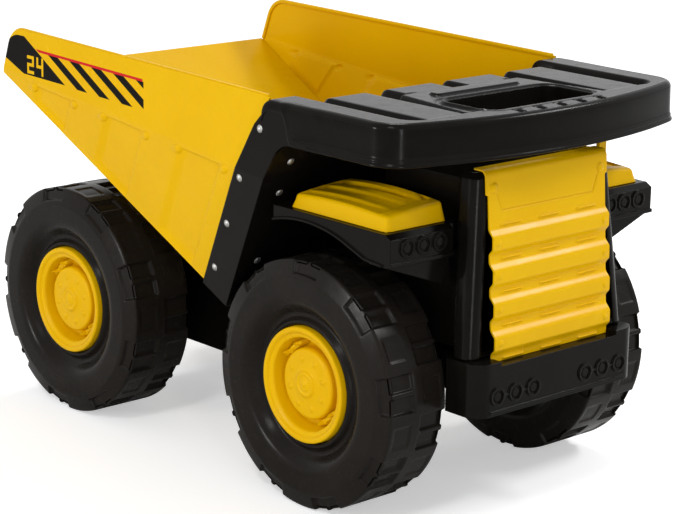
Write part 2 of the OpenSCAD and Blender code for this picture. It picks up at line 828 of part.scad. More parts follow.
axle_end = wheel_mid_y + web_out + 2.4;
module axle(x) { color("silver") translate([x, 0, axle_z]) bar_y(axle_r, -axle_end, axle_end); }
module front_axle() { axle(front_axle_x); }
module rear_axle() { axle(rear_axle_x); }
module axle_push_nuts() {
    color("silver")
        for (x = [front_axle_x, rear_axle_x])
            both_sides()
                translate([x, axle_end - 1.9, axle_z]) rotate([-90, 0, 0]) push_nut(axle_r);
}

screw_r = 1.9;
screw_y = 38;
screw_spots_x = [front_axle_x + 19, front_axle_x + 72];
// Places its children at the screws through the chassis top into the housing, with Z up
module at_chassis_screws() {
    for (x = screw_spots_x, side = [-1, 1])
        translate([x, side * screw_y, chassis_top_z]) children();
}
// Ribs that tie the screws' posts to the housing's wall, on the left
module screw_posts() {
    for (x = screw_spots_x)
        translate([x - 1.5, screw_y, chassis_top_z]) cube([3, core_half_w - screw_y - 1, 20]);
}
module chassis_screws() {
    color("silver")
        at_chassis_screws() {
            translate([0, 0, -chassis_wall - 2.2]) cylinder(r = 2.1 * screw_r, h = 2.1, $fn = 24);
            translate([0, 0, -chassis_wall - 0.2]) cylinder(r = screw_r, h = chassis_wall + 12, $fn = 24);
        }
}

// ---------------------------------------------------------------- engine housing

housing_rear_x = front_axle_x + 7;
core_half_w = 58;                     // half width of the housing between the wheels
grille_foot_x = bumper_reach - 8.9;
grille_head_x = grille_foot_x - 8.6;
grille_foot_z = chassis_top_z - 4;
grille_head_z = housing_top_z - 1;
// Face of the grille, leaning back towards its top
function grille_x(z) = grille_foot_x + (grille_head_x - grille_foot_x) * (z - grille_foot_z) / (grille_head_z - grille_foot_z);
function housing_front_x(z) = grille_x(z) - grille_t - seat_gap;

// Shroud with rounded corners that flares towards its foot
module shroud(wall) {
    corner = 8;
    top = housing_top_z - wall;
    foot = chassis_top_z - wall;
    hull() {
        translate([front_axle_x + 88 + wall, wall - housing_foot_half_w, foot])
            linear_extrude(1)
                rounded_square(housing_front_x(foot) - front_axle_x - 88 - 2 * wall, 2 * (housing_foot_half_w - wall), corner, $fn = 32);
        translate([front_axle_x + 78 + wall, wall - housing_top_half_w, top - 5])
            linear_extrude(1)
                rounded_square(housing_front_x(top - 4) - front_axle_x - 78.4 - 2 * wall, 2 * (housing_top_half_w - wall), corner, $fn = 32);
        translate([front_axle_x + 80 + wall, wall - housing_top_half_w + 3, top - 1])
            linear_extrude(1)
                rounded_square(housing_front_x(top) - front_axle_x - 85 - 2 * wall, 2 * (housing_top_half_w - wall - 3), corner, $fn = 32);
    }
}

module engine_housing() {
    wall = 3;
    color("dimgray")
        difference() {
            union() {
                difference() {
                    union() {
                        shroud(0);
                        translate([housing_rear_x, -core_half_w, chassis_top_z])
                            cube([front_axle_x + 90 - housing_rear_x, 2 * core_half_w, housing_top_z - 6 - chassis_top_z]);
                    }
                    difference() {
                        shroud(wall);
                        translate([0, -big, housing_top_z - 6 - wall]) cube([front_axle_x + 79, 2 * big, big]);
                    }
                    translate([housing_rear_x + wall, wall - core_half_w, chassis_top_z - 1])
                        cube([front_axle_x + 86 - housing_rear_x, 2 * (core_half_w - wall), housing_top_z - 6 - wall - chassis_top_z + 1]);
                }
                at_chassis_screws() cylinder(r = 5, h = 20, $fn = 32);
                for (side = [0, 1]) mirror([0, side, 0]) screw_posts();
            }
            at_chassis_screws() translate([0, 0, -1]) cylinder(r = screw_r + 2 * running_gap, h = 14, $fn = 24);
        }
}

// ---------------------------------------------------------------- grille

rib_count = 4;
rib_face = 12;                        // height of a rib's sloping face
rib_rise = 3;                         // height of the rounded edge above a rib

// Side view of the sheet's face from the foot up, drawn back by the inset
function grille_face(inset) = concat(
    [[grille_x(grille_foot_z) - inset, grille_foot_z]],
    [for (i = [0:rib_count - 1]) let (z = rib_z + i * rib_pitch) each [
        [grille_x(z - rib_face) - inset, z - rib_face],
        [grille_x(z - rib_face + 2) + 1 - inset, z - rib_face + 2],
        [grille_x(z - 1) + rib_h - 0.5 - inset, z - 1.5],
        [grille_x(z) + rib_h - inset, z],
        [grille_x(z + 1) + rib_h - 0.6 - inset, z + 1.2],
        [grille_x(z + rib_rise) - inset, z + rib_rise]
    ]],
    [[grille_x(grille_head_z - 3) - inset, grille_head_z - 3]],
    arc(grille_x(grille_head_z) - 5, grille_head_z - 2, 5 - inset, 0, 90, 6),
    [[grille_x(grille_head_z) - 13, grille_head_z + 3 - inset]]
);
function reversed(list) = [for (i = [len(list) - 1:-1:0]) list[i]];

module grille_panel() {
    wing_z = grille_head_z - 14;
    slot_l = 18;
    color("gold") {
        intersection() {
            along_y(2 * grille_half_w + 4) polygon(concat(grille_face(0), reversed(grille_face(grille_t))));
            union() {
                translate([0, -grille_half_w, 0]) cube([big, 2 * grille_half_w, big]);
                translate([0, -grille_half_w - 2, wing_z]) cube([big, 2 * grille_half_w + 4, big]);
            }
        }
        // short raised louvres above each rib and along the foot
        for (i = [0:rib_count], k = [-1:1]) {
            z = rib_z + (i - 1) * rib_pitch + rib_rise + 3.6;
            translate([grille_x(z) - 0.6, 0, z]) bar_y(1.3, k * 36 - slot_l / 2, k * 36 + slot_l / 2);
        }
        // dimples at the ends of the ribs and in the upper corners
        for (i = [0:rib_count - 1], side = [-1, 1]) {
            z = rib_z + i * rib_pitch - 4;
            translate([grille_x(z) + rib_h - 2.3, side * (grille_half_w - 5), z]) sphere(r = 2.2, $fn = 24);
        }
        for (side = [-1, 1])
            translate([grille_x(grille_head_z - 9) - 1.4, side * (grille_half_w - 5), grille_head_z - 9]) sphere(r = 3.2, $fn = 24);
        name_plate();
    }
}

// Shallow trapezoid field in the upper part
module name_plate() {
    low = rib_z + (rib_count - 1) * rib_pitch + 10;
    high = grille_head_z - 14;
    lean = atan((grille_foot_x - grille_head_x) / (grille_head_z - grille_foot_z));
    translate([grille_x(low), 0, low])
        rotate([0, -lean, 0])
            span_x(-0.4, 0.6)
                polygon([
                    [-grille_half_w + 9, high - low], [-grille_half_w + 15, 0],
                    [grille_half_w - 15, 0], [grille_half_w - 9, high - low]
                ]);
}

// ---------------------------------------------------------------- bumper

bumper_wall = 3;
bumper_rear_x = front_axle_x + tyre_r + 3;
bumper_bend = 12;
// Plan view of the bumper: a straight face with rounded ends
module bumper_plan(inset) {
    half = bumper_half_w - inset;
    front = bumper_reach - inset;
    bend = bumper_bend - inset;
    translate([bumper_rear_x, -half]) square([front - bend - bumper_rear_x, 2 * half]);
    translate([front - bend - 1, bend - half]) square([bend + 1, 2 * (half - bend)]);
    for (side = [-1, 1]) translate([front - bend, side * (half - bend)]) circle(r = bend);
}

lamp_spots_y = [25.2, 42, 58.8];
lamp_z = bumper_z + 13;
// Raised ring with a lens, with X out of the face
module lamp_ring() {
    rotate([0, 90, 0]) {
        difference() {
            translate([0, 0, -0.5]) cylinder(r = lamp_r, h = 1.7, $fn = 32);
            translate([0, 0, -1]) cylinder(r = lamp_r - 1.4, h = 4, $fn = 32);
        }
        translate([0, 0, -0.5]) cylinder(r1 = lamp_r - 2.4, r2 = lamp_r - 3.4, h = 1.3, $fn = 32);
    }
}

module front_bumper() {
    notch_half_w = grille_half_w;
    color("dimgray") {
        difference() {
            translate([0, 0, bumper_z]) linear_extrude(bumper_h) bumper_plan(0);
            // room behind the face
            translate([-bumper_wall, 0, bumper_z - 1]) linear_extrude(bumper_h - bumper_wall) bumper_plan(bumper_wall);
            // lower top edge in front of the grille
            translate([0, -notch_half_w, bumper_z + bumper_h - 3]) cube([big, 2 * notch_half_w, 5]);
            // room for the chassis end, the shroud and the grille
            translate([0, -chassis_half_w - 1, 0]) cube([chassis_front_x + seat_gap, 2 * chassis_half_w + 2, big]);
            translate([0, -notch_half_w - 1, grille_foot_z - seat_gap]) cube([grille_foot_x + 1, 2 * notch_half_w + 2, big]);
        }
        // ribs that meet the chassis end
        for (side = [-1, 1])
            translate([chassis_front_x + seat_gap, side * 30 - 1.5, bumper_z + 1])
                cube([bumper_reach - chassis_front_x - 2, 3, bumper_h - 7]);
        for (side = [-1, 1], y = lamp_spots_y)
            translate([bumper_reach, side * y, lamp_z]) lamp_ring();
        for (side = [-1, 1], k = [0:1])
            translate([bumper_reach - 0.5, side * (lamp_spots_y[k] + lamp_spots_y[k + 1]) / 2 - 2.2, lamp_z - 0.6])
                cube([1.4, 4.4, 1.2]);
        // bead along the lower edge
        translate([bumper_reach - 0.4, -bumper_half_w + bumper_bend, bumper_z + 2]) cube([1, 2 * (bumper_half_w - bumper_bend), 1.6]);
    }
}

// ---------------------------------------------------------------- fenders

fender_rear_x = front_axle_x - cover_back - fender_tail;
fender_front_x = front_axle_x + cover_front + fender_nose;
fender_inner_y = core_half_w + seat_gap;
arch_top_z = cover_z - arch_t;
arch_bend_r = 115;
arch_shift = 3;                       // middle of the arch in front of the axle
arch_mid_x = front_axle_x + arch_shift;
lamp_box_z = cover_z - lamp_box_h;
lamp_box_l = 23;                      // length of the box under the fender's nose
fender_lamp_pitch = 14.5;
fender_lamps_y = [for (i = [-1:1]) fender_lamp_y + i * fender_lamp_pitch];

// Side view of the underside's arch, raised by the inset
function fender_arch(inset) = concat(
    arc(arch_mid_x, arch_top_z - arch_bend_r, arch_bend_r + inset, 106, 67, 10),
    [[fender_front_x - lamp_box_l, lamp_box_z + inset], [fender_front_x - 7, lamp_box_z - 1.5 + inset]]
);

// Half width of the housing's shroud at the height of the lamps, with its clearance
shroud_clear_y = housing_foot_half_w + seat_gap
    - (housing_foot_half_w - housing_top_half_w) * (lamp_box_z - 1 - chassis_top_z) / (housing_top_z - chassis_top_z);

module fender_left() {
    top = cover_z - seat_gap;
    color("dimgray") {
        difference() {
            span_y(fender_inner_y, fender_half_w)
                polygon(concat(
                    fender_arch(0),
                    [[fender_front_x, lamp_box_z + 1], [fender_front_x, top - 3], [fender_front_x - 5, top]],
                    [[fender_rear_x, top]]
                ));
            // step round the shroud
            translate([fender_front_x - 9, 0, 0]) cube([big, shroud_clear_y, big]);
            // room under the top
            span_y(fender_inner_y + fender_wall, fender_half_w - fender_wall)
                difference() {
                    polygon([
                        [fender_rear_x + fender_wall, 0], [fender_rear_x + fender_wall, top - fender_wall],
                        [fender_front_x - fender_wall, top - fender_wall], [fender_front_x - fender_wall, 0]
                    ]);
                    translate([fender_front_x - lamp_box_l + 2, 0]) square([big, lamp_box_z + fender_wall]);
                }
        }
        // lip along the arch
        span_y(fender_half_w - 1, fender_half_w + 1.4)
            polygon(concat(fender_arch(0), reversed(fender_arch(1.6))));
        // ledge under the lamps, and the brace from it to the housing
        translate([fender_front_x - 4, shroud_clear_y, lamp_box_z - 1]) cube([5.5, fender_half_w - shroud_clear_y, 2.4]);
        span_x(fender_front_x - 20, fender_front_x - 3)
            polygon([
                [shroud_clear_y, lamp_box_z], [fender_half_w - 1, lamp_box_z],
                [fender_half_w - 1, lamp_box_z - 2], [housing_foot_half_w, lamp_box_z - 20]
            ]);
        for (y = fender_lamps_y) translate([fender_front_x, y, lamp_box_z + 10]) lamp_ring();
    }
}
module fender_right() { mirror([0, 1, 0]) fender_left(); }

// ---------------------------------------------------------------- fender covers

cover_rear_x = front_axle_x - cover_back;
cover_front_x = front_axle_x + cover_front;
cover_outer_y = fender_half_w - 4;
cover_inner_y = housing_top_half_w + 2;
crown_r = 420;

// The cover's outer block, or its room when drawn in by a wall
module cover_block(wall) {
    base = cover_z - (wall > 0 ? 1 : 0);
    crown = cover_z + cover_h - wall;
    mid_x = (cover_rear_x + cover_front_x) / 2;
    turn = asin(((cover_front_x - cover_rear_x) / 2 - 6.5 - wall) / crown_r);
    intersection() {
        span_y(cover_inner_y - 5, cover_outer_y + 5)
            polygon(concat(
                [[cover_rear_x + wall, base], [cover_front_x - wall * 1.1, base]],
                arc(mid_x, crown - crown_r, crown_r, 90 - turn, 90 + turn, 8),
                [[cover_rear_x + wall, crown - 6]]
            ));
        span_x(cover_rear_x - 5, cover_front_x + 5)
            polygon([
                [cover_inner_y + wall, base], [cover_outer_y - wall, base],
                [cover_outer_y - 3.5 - wall, crown - 4], [cover_outer_y - 24, crown - 0.8],
                [cover_inner_y + 12, crown + 0.6], [cover_inner_y + wall, crown + 0.6]
            ]);
    }
}

fin_bow_r = 260;
fin_spots_y = [75, 89, 103];
fin_mid_x = front_axle_x + 29;
// A fin with rounded ends, bowed over the crown
module fin(y) {
    top = cover_z + cover_h + fin_r - 1;
    half = (cover_front_x - cover_rear_x) / 2 - 7;
    turn = asin(half / fin_bow_r);
    rear = fin_mid_x - half;
    front = fin_mid_x + half;
    end_z = top - fin_bow_r + fin_bow_r * cos(turn);
    intersection() {
        span_y(y - fin_r, y + fin_r)
            polygon(concat(
                [[front + 6, cover_z + 3], [front + 6, end_z - 6], [front + 4, end_z - 2]],
                arc(fin_mid_x, top - fin_bow_r, fin_bow_r, 90 - turn, 90 + turn, 10),
                [[rear - 4, end_z - 2], [rear - 6, end_z - 6], [rear - 6, cover_z + 3]]
            ));
        span_x(rear - 10, front + 10)
            union() {
                translate([y, top - fin_r]) circle(r = fin_r, $fn = 24);
                translate([y - fin_r, cover_z]) square([2 * fin_r, top - fin_r - cover_z]);
            }
    }
}

module fender_cover(cab_side) {
    color("gold")
        difference() {
            union() {
                difference() {
                    cover_block(0);
                    cover_block(fender_wall);
                }
                for (y = fin_spots_y) fin(y);
            }
            if (cab_side)
                translate([cab_rear_x - seat_gap, 0, 0])
                    cube([cab_l + 2 * seat_gap, cab_outer_y + door_trim_h + seat_gap, big]);
        }
}
module fender_cover_left() { fender_cover(true); }
module fender_cover_right() { mirror([0, 1, 0]) fender_cover(false); }

// ---------------------------------------------------------------- cab

cab_rear_x = front_axle_x - 3;
cab_inner_y = housing_top_half_w - 2;
cab_outer_y = cab_inner_y + cab_w;
cab_foot_z = cover_z;
pillar = 7;
cab_h = cab_roof_z - cab_foot_z;
cab_visor_h = 9;
door_trim_h = 0.8;

module cab_shell() {
    window_z = cab_foot_z + 14;
    window_h = cab_h - 14 - cab_visor_h - 2;
    color("gold") {
        difference() {
            translate([cab_rear_x, cab_inner_y, cab_foot_z]) cube([cab_l, cab_w, cab_h]);
            translate([cab_rear_x + cab_wall, cab_inner_y + cab_wall, cab_foot_z - 1])
                cube([cab_l - 2 * cab_wall, cab_w - 2 * cab_wall, cab_h - cab_wall + 1]);
            // windscreen and rear window
            translate([cab_rear_x - 5, cab_inner_y + pillar, window_z]) cube([cab_l + 10, cab_w - 2 * pillar, window_h]);
            // side windows, with the door post between them
            translate([cab_rear_x + pillar, cab_outer_y - 5, window_z]) cube([cab_l - 2 * pillar - 16, 10, window_h]);
            translate([cab_rear_x + cab_l - pillar - 11, cab_outer_y - 5, window_z]) cube([11, 10, window_h]);
        }
        // ribs of the sun visor over the windscreen
        for (i = [0:4])
            translate([cab_rear_x + cab_l - 1, cab_inner_y + pillar + 2 + i * 6, cab_roof_z - cab_visor_h])
                cube([2.5, 2.5, cab_visor_h - 1]);
        // door outline on the outer side
        for (x = [cab_rear_x + pillar - 3, cab_rear_x + cab_l - pillar - 16])
            translate([x, cab_outer_y - 1, cab_foot_z + 12]) cube([1.4, 1 + door_trim_h, cab_h - 16]);
    }
}

// ---------------------------------------------------------------- wheels

// Places a wheel's piece, made with its outer face along +Z, at an axle's left end
module at_wheel(x, side) {
    mirror([0, side < 0 ? 1 : 0, 0])
        translate([x, wheel_mid_y, axle_z]) rotate([-90, 0, 0]) children();
}

// Outline of the carcass from the bore out over the outer face and back over the inner one
module tyre_outline() {
    face = tyre_w / 2;
    seat = hub_r + 0.2;
    shoulder = tyre_r - shoulder_w;
    polygon([
        [axle_r + running_gap, web_out], [seat, web_out], [seat, face - 5.5],
        [seat + 1.4, face - 4], [seat + 3, face - 5.5], [seat + 5.5, face - 8.5], [seat + 8.5, face - 8.8],
        [seat + 11.5, face - 6.5], [seat + 14, face - 2.5], [seat + 17.5, face - 0.5], [seat + 22, face],
        [shoulder, face], [tyre_r - 0.8, face - shoulder_drop + 0.5], [tyre_r, face - shoulder_drop - 0.6],
        [tyre_r, shoulder_drop + 0.6 - face], [tyre_r - 0.8, shoulder_drop - 0.5 - face], [shoulder, -face],
        [seat + 20, -face], [seat + 12, 7 - face], [boss_r + 14, 9 - face], [boss_r + 3, 8 - face],
        [boss_r + 3, -face], [axle_r + running_gap, -face]
    ]);
}
shoulder_drop = 3.5;                  // slope of the shoulder, measured along the axle

// Hollow of the blow-moulded carcass
module tyre_room() {
    face = tyre_w / 2 - tyre_wall;
    seat = hub_r + 0.2 + tyre_wall;
    crown = tyre_r - pocket_depth - tyre_wall;
    shoulder = tyre_r - shoulder_w - tyre_wall;
    polygon([
        [boss_r + 3 + tyre_wall, web_out - tyre_wall], [seat, web_out - tyre_wall], [seat, face - 9],
        [seat + 7, face - 9], [seat + 12.5, face - 1], [shoulder, face - 1], [crown, face - shoulder_drop - 2],
        [crown, shoulder_drop + 2 - face], [shoulder, 1 - face],
        [seat + 17, -face], [seat + 10, 8 - face], [boss_r + 14, 10 - face], [boss_r + 3 + tyre_wall, 9 - face]
    ]);
}

// One pocket of the outer half: sunk into the shoulder and across half the tread, with a rib across it
module pocket() {
    face = tyre_w / 2;
    floor_r = tyre_r - pocket_depth;
    inner_r = tyre_r - shoulder_w + 2.5;
    rib_angle = atan(pocket_rib_w / tyre_r);
    difference() {
        rotate([0, 0, -pocket_angle / 2])
            rotate_extrude(angle = pocket_angle)
                polygon([
                    [inner_r, face + 1], [inner_r + 0.8, face - 2.6], [floor_r, face - shoulder_drop - 0.7],
                    [floor_r, pocket_margin], [tyre_r + 1, pocket_margin], [tyre_r + 1, face + 1]
                ]);
        rotate([0, 0, -rib_angle / 2])
            rotate_extrude(angle = rib_angle)
                polygon([
                    [floor_r - 1, face - shoulder_drop - 1], [tyre_r - 0.4, face - shoulder_drop - 1],
                    [tyre_r - 0.4, 0], [floor_r - 1, 0]
                ]);
    }
}
pocket_margin = 3;                    // land left along the middle of the tread

// A shallow square sunk between two pockets
module square_mark() {
    from = tyre_w / 2 - shoulder_drop - 3.5;
    mark_angle = 2 * asin(square_w / 2 / tyre_r);
    rotate([0, 0, -mark_angle / 2])
        rotate_extrude(angle = mark_angle)
            translate([tyre_r - 0.8, from - square_w]) square([2, square_w]);
}

module tyre() {
    pitch = 360 / pocket_count;
    difference() {
        rotate_extrude() difference() {
            tyre_outline();
            tyre_room();
        }
        for (i = [0:pocket_count - 1]) {
            rotate([0, 0, i * pitch]) {
                pocket();
                mirror([0, 0, 1]) square_mark();
            }
            rotate([0, 0, (i + 0.5) * pitch]) {
                square_mark();
                mirror([0, 0, 1]) pocket();
            }
        }
        // vent left by the blowing pin
        translate([tyre_r - 22, 0, -tyre_w]) cylinder(r = 2.5, h = tyre_w, $fn = 24);
    }
}

// Dished hub with a rolled rim, a deep ring and a raised disc with a boss in its middle
module hub() {
    rim = tyre_w / 2 - 2;
    low = rim - hub_dish;
    disc = rim - disc_drop;
    outer = [
        [0, disc + 2.6], [1.6, disc + 2.4], [2.6, disc + 1.2], [4.2, disc + 1.2], [5, disc + 2.2], [7, disc + 2.2],
        [9, disc + 0.6], [12, disc + 0.2], [disc_r - 2.4, disc - 0.4], [disc_r - 0.8, disc - 1.4], [disc_r, low + 1.5],
        [disc_r + 1.5, low], [disc_r + 4, low],
        [hub_r - 8, rim - 3.2], [hub_r - 7, rim - 2], [hub_r - 5, rim - 1.8], [hub_r - 4, rim - 0.3],
        [hub_r - 2.8, rim], [hub_r - 1, rim], [hub_r, rim - 1]
    ];
    inner = [
        [hub_r, web_out + seat_gap], [hub_r - hub_wall, web_out + seat_gap], [hub_r - hub_wall, rim - 3.6],
        [hub_r - 6.6, rim - 4.2], [disc_r + 4.6, low - hub_wall], [disc_r - hub_wall, low - hub_wall],
        [disc_r - hub_wall - 1, disc - hub_wall - 1.4], [0, disc - hub_wall]
    ];
    rotate_extrude() polygon(concat(outer, inner));
    // valve and its guard in the ring, and a second guard across from it
    for (turn = [0, 180])
        rotate([0, 0, turn]) {
            translate([disc_r + 0.5, -7, low - 0.5]) cube([5, 14, 5]);
            for (y = [-8.5, 8.5]) translate([disc_r + 3, y, low - 0.5]) cylinder(r = 2.4, h = 8, $fn = 24);
        }
    for (i = [0:7]) rotate([0, 0, i * 45 + 22.5]) translate([17, 0, disc - 0.6]) sphere(r = 1.3, $fn = 24);
}

module tyre_at(x, side, turn) { color("dimgray") at_wheel(x, side) rotate([0, 0, turn]) tyre(); }
module hub_at(x, side) { color("gold") at_wheel(x, side) rotate([0, 0, hub_turn]) hub(); }
hub_turn = 50;
front_turn = -8;                      // angles at which the wheels have come to rest
rear_turn = -21;

module tyre_front_right() { tyre_at(front_axle_x, -1, front_turn); }
module tyre_front_left() { tyre_at(front_axle_x, 1, front_turn); }
module tyre_rear_right() { tyre_at(rear_axle_x, -1, rear_turn); }
module tyre_rear_left() { tyre_at(rear_axle_x, 1, rear_turn); }
module hub_front_right() { hub_at(front_axle_x, -1); }
module hub_front_left() { hub_at(front_axle_x, 1); }
module hub_rear_right() { hub_at(rear_axle_x, -1); }
module hub_rear_left() { hub_at(rear_axle_x, 1); }

chassis_frame();
front_axle();
rear_axle();
axle_push_nuts();
hinge_pin();
hinge_push_nuts();
chassis_screws();
engine_housing();
front_bumper();
grille_panel();
fender_right();
fender_left();
fender_cover_right();
fender_cover_left();
cab_shell();
bed_shell();
canopy_bulkhead();
hinge_bracket_right();
hinge_bracket_left();
bracket_rivets();
flange_rivets_right();
flange_rivets_left();
bulkhead_rivets();
tyre_front_right();
tyre_front_left();
tyre_rear_right();
tyre_rear_left();
hub_front_right();
hub_front_left();
hub_rear_right();
hub_rear_left();
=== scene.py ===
# %% [markdown]
# # Toy dump truck
# The truck is a child's tipper for the sand pit: a pressed steel bed and grille in yellow enamel, and
# a chassis, canopy, fenders and tyres in black plastic. The solids come from the CAD frame. This
# lesson gives them their finishes, and models the pieces whose soft edges and small relief a solid
# modeller leaves out. Each new piece takes the place of one CAD node and keeps to its box.

import json
import math

import bmesh
import bpy
from mathutils import Matrix, Vector

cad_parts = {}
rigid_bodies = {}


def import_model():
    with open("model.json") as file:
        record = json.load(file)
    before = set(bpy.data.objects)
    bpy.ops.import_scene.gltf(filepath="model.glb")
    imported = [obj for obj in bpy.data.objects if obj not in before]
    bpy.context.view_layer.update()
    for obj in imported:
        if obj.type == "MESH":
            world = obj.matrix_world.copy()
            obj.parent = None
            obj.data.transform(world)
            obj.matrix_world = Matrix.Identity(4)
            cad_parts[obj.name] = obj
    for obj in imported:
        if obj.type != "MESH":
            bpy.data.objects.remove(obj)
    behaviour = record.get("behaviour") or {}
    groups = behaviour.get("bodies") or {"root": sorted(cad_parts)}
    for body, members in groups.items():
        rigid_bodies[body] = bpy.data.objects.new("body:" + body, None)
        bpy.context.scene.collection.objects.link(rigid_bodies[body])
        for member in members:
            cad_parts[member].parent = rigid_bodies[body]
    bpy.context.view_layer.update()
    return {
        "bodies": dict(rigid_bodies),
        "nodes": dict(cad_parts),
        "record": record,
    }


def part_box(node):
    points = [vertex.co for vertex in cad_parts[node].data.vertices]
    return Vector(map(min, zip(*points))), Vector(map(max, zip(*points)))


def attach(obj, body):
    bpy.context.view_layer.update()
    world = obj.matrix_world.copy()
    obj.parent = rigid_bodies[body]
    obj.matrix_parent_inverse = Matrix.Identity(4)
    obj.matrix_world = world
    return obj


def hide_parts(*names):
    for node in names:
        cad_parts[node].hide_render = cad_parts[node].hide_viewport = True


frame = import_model()
MM = 0.001
bodies = sorted(frame["bodies"])
print("bodies:", bodies)
print("nodes:", len(frame["nodes"]))


# %% [markdown]
# ## Camera
# The camera stands at the front right corner, a little above the canopy, with a long lens. It could
# be aimed by a Track To constraint or by three angles. Its axes are written out as the columns of a
# rotation matrix instead, so nothing has to be solved for here and the aim can't drift.

# %% Camera
scene = bpy.context.scene
scene.view_settings.view_transform = "Standard"

SENSOR_MM = 36.0
LENS_MM = 118.67
CAMERA_PLACE = Vector((1.18467, -1.05964, 0.54395))
CAMERA_RIGHT = Vector((0.668842, 0.743234, 0.015924))
CAMERA_UP = Vector((-0.197724, 0.157203, 0.967570))
CAMERA_BACK = Vector((0.716627, -0.650301, 0.252099))

camera_data = bpy.data.cameras.new("camera")
camera_data.sensor_fit = "HORIZONTAL"
camera_data.sensor_width = SENSOR_MM
camera_data.lens = LENS_MM
camera_data.clip_end = 20.0
camera = bpy.data.objects.new("camera", camera_data)
scene.collection.objects.link(camera)
turn = Matrix((CAMERA_RIGHT, CAMERA_UP, CAMERA_BACK)).transposed().to_4x4()
camera.matrix_world = Matrix.Translation(CAMERA_PLACE) @ turn
scene.camera = camera
print("camera", [round(v, 3) for v in camera.location])


# %% [markdown]
# ## Writing a finish as an expression
# Nodes can be wired one by one, but a tree is easier to read as arithmetic. Sock wraps one output of
# a node, so that 1 - mask or noise * 0.4 adds the Math nodes by itself. Finish starts a material and
# makes any other node from its type, its settings and its inputs. All patterns are placed by the
# Object coordinates, which are the truck's own metres, because every piece's object is at the origin.

# %% Shader helpers
class Sock:
    def __init__(self, finish, socket):
        self.finish = finish
        self.socket = socket

    def _math(self, operation, a, b=None):
        values = [a] if b is None else [a, b]
        return self.finish.node("ShaderNodeMath", {"operation": operation}, dict(enumerate(values)))

    def __add__(self, other): return self._math("ADD", self, other)
    def __radd__(self, other): return self._math("ADD", other, self)
    def __sub__(self, other): return self._math("SUBTRACT", self, other)
    def __rsub__(self, other): return self._math("SUBTRACT", other, self)
    def __mul__(self, other): return self._math("MULTIPLY", self, other)
    def __rmul__(self, other): return self._math("MULTIPLY", other, self)
    def __truediv__(self, other): return self._math("DIVIDE", self, other)
    def __gt__(self, other): return self._math("GREATER_THAN", self, other)
    def __lt__(self, other): return self._math("LESS_THAN", self, other)
    def __abs__(self): return self._math("ABSOLUTE", self)
    def __pow__(self, other): return self._math("POWER", self, other)
    def least(self, other): return self._math("MINIMUM", self, other)
    def most(self, other): return self._math("MAXIMUM", self, other)
    def part(self): return self._math("FRACT", self)


class Finish:
    def __init__(self, name):
        self.material = bpy.data.materials.new(name)
        self.material.use_nodes = True
        self.tree = self.material.node_tree
        self.tree.nodes.clear()
        self.shader = self.tree.nodes.new("ShaderNodeBsdfPrincipled")
        output = self.tree.nodes.new("ShaderNodeOutputMaterial")
        self.tree.links.new(self.shader.outputs[0], output.inputs["Surface"])
        self.place = self.node("ShaderNodeTexCoord", {}, {}, "Object")

    def node(self, kind, settings, inputs, output=0):
        made = self.tree.nodes.new(kind)
        for key, value in settings.items():
            if key == "stops":
                ramp = made.color_ramp
                while len(ramp.elements) < len(value):
                    ramp.elements.new(0.5)
                for element, (at, grey) in zip(ramp.elements, value):
                    element.position = at
                    element.color = (grey, grey, grey, 1.0)
            else:
                setattr(made, key, value)
        for key, value in inputs.items():
            if isinstance(value, Sock):
                self.tree.links.new(value.socket, made.inputs[key])
            else:
                made.inputs[key].default_value = value
        return Sock(self, made.outputs[output])

    def noise(self, scale, detail=2.0, roughness=0.5):
        return self.node("ShaderNodeTexNoise", {},
                         {"Vector": self.place, "Scale": scale, "Detail": detail, "Roughness": roughness})

    def axis(self, name):
        return self.node("ShaderNodeSeparateXYZ", {}, {0: self.place}, name)

    def ramp(self, value, stops):
        return self.node("ShaderNodeValToRGB", {"stops": stops}, {0: value})

    def mix(self, mask, a, b):
        return self.node("ShaderNodeMix", {"data_type": "RGBA"}, {0: mask, 6: a, 7: b}, 2)

    def bump(self, height, distance, strength=1.0, below=None):
        inputs = {"Height": height, "Distance": distance, "Strength": strength}
        if below is not None:
            inputs["Normal"] = below
        return self.node("ShaderNodeBump", {}, inputs)

    def round_edges(self, radius):
        return self.node("ShaderNodeBevel", {"samples": 6}, {"Radius": radius})

    def feed(self, **links):
        for key, value in links.items():
            name = key.replace("_", " ")
            if isinstance(value, Sock):
                self.tree.links.new(value.socket, self.shader.inputs[name])
            else:
                self.shader.inputs[name].default_value = value
        print("finish", self.material.name)
        return self.material


# %% [markdown]
# ## Colours
# Paint is matched on a screen, in display values from 0 to 255, while a shader works in linear
# light. One function turns the first into the second. Yellow and black each have a second tone, for
# the uneven coat of the enamel and the worn places of the plastic.

# %% Colours
def linear(red, green, blue):
    """A colour given in display values from 0 to 255, as the linear values a socket takes."""
    def one(v):
        v /= 255.0
        return v / 12.92 if v <= 0.04045 else ((v + 0.055) / 1.055) ** 2.4
    return (one(red), one(green), one(blue), 1.0)


YELLOW = linear(224, 177, 0)
YELLOW_DEEP = linear(214, 162, 0)
BLACK = linear(13, 11, 9)
BLACK_WORN = linear(24, 21, 18)
TYRE = linear(26, 23, 20)
TYRE_WORN = linear(38, 34, 30)
STEEL = linear(196, 196, 192)
STEEL_DULL = linear(150, 150, 148)
print("yellow", [round(v, 3) for v in YELLOW[:3]], "black", [round(v, 4) for v in BLACK[:3]])


# %% [markdown]
# ## Yellow enamel
# The bed and the grille are stamped from thin steel and sprayed. Sprayed enamel on a toy is glossy
# with a faint orange peel, a little deeper where the coat is thick, and duller where hands rub it.
# It could be a plain glossy colour, but that looks like glass on such large flat sheets. Three noises
# of different sizes give the cloud in the colour, the rubbed places and the peel. Edges are rounded
# by the Bevel node, because the sheets' own edges are only as thick as the steel.

# %% Yellow enamel
PEEL_DEPTH = 0.00004


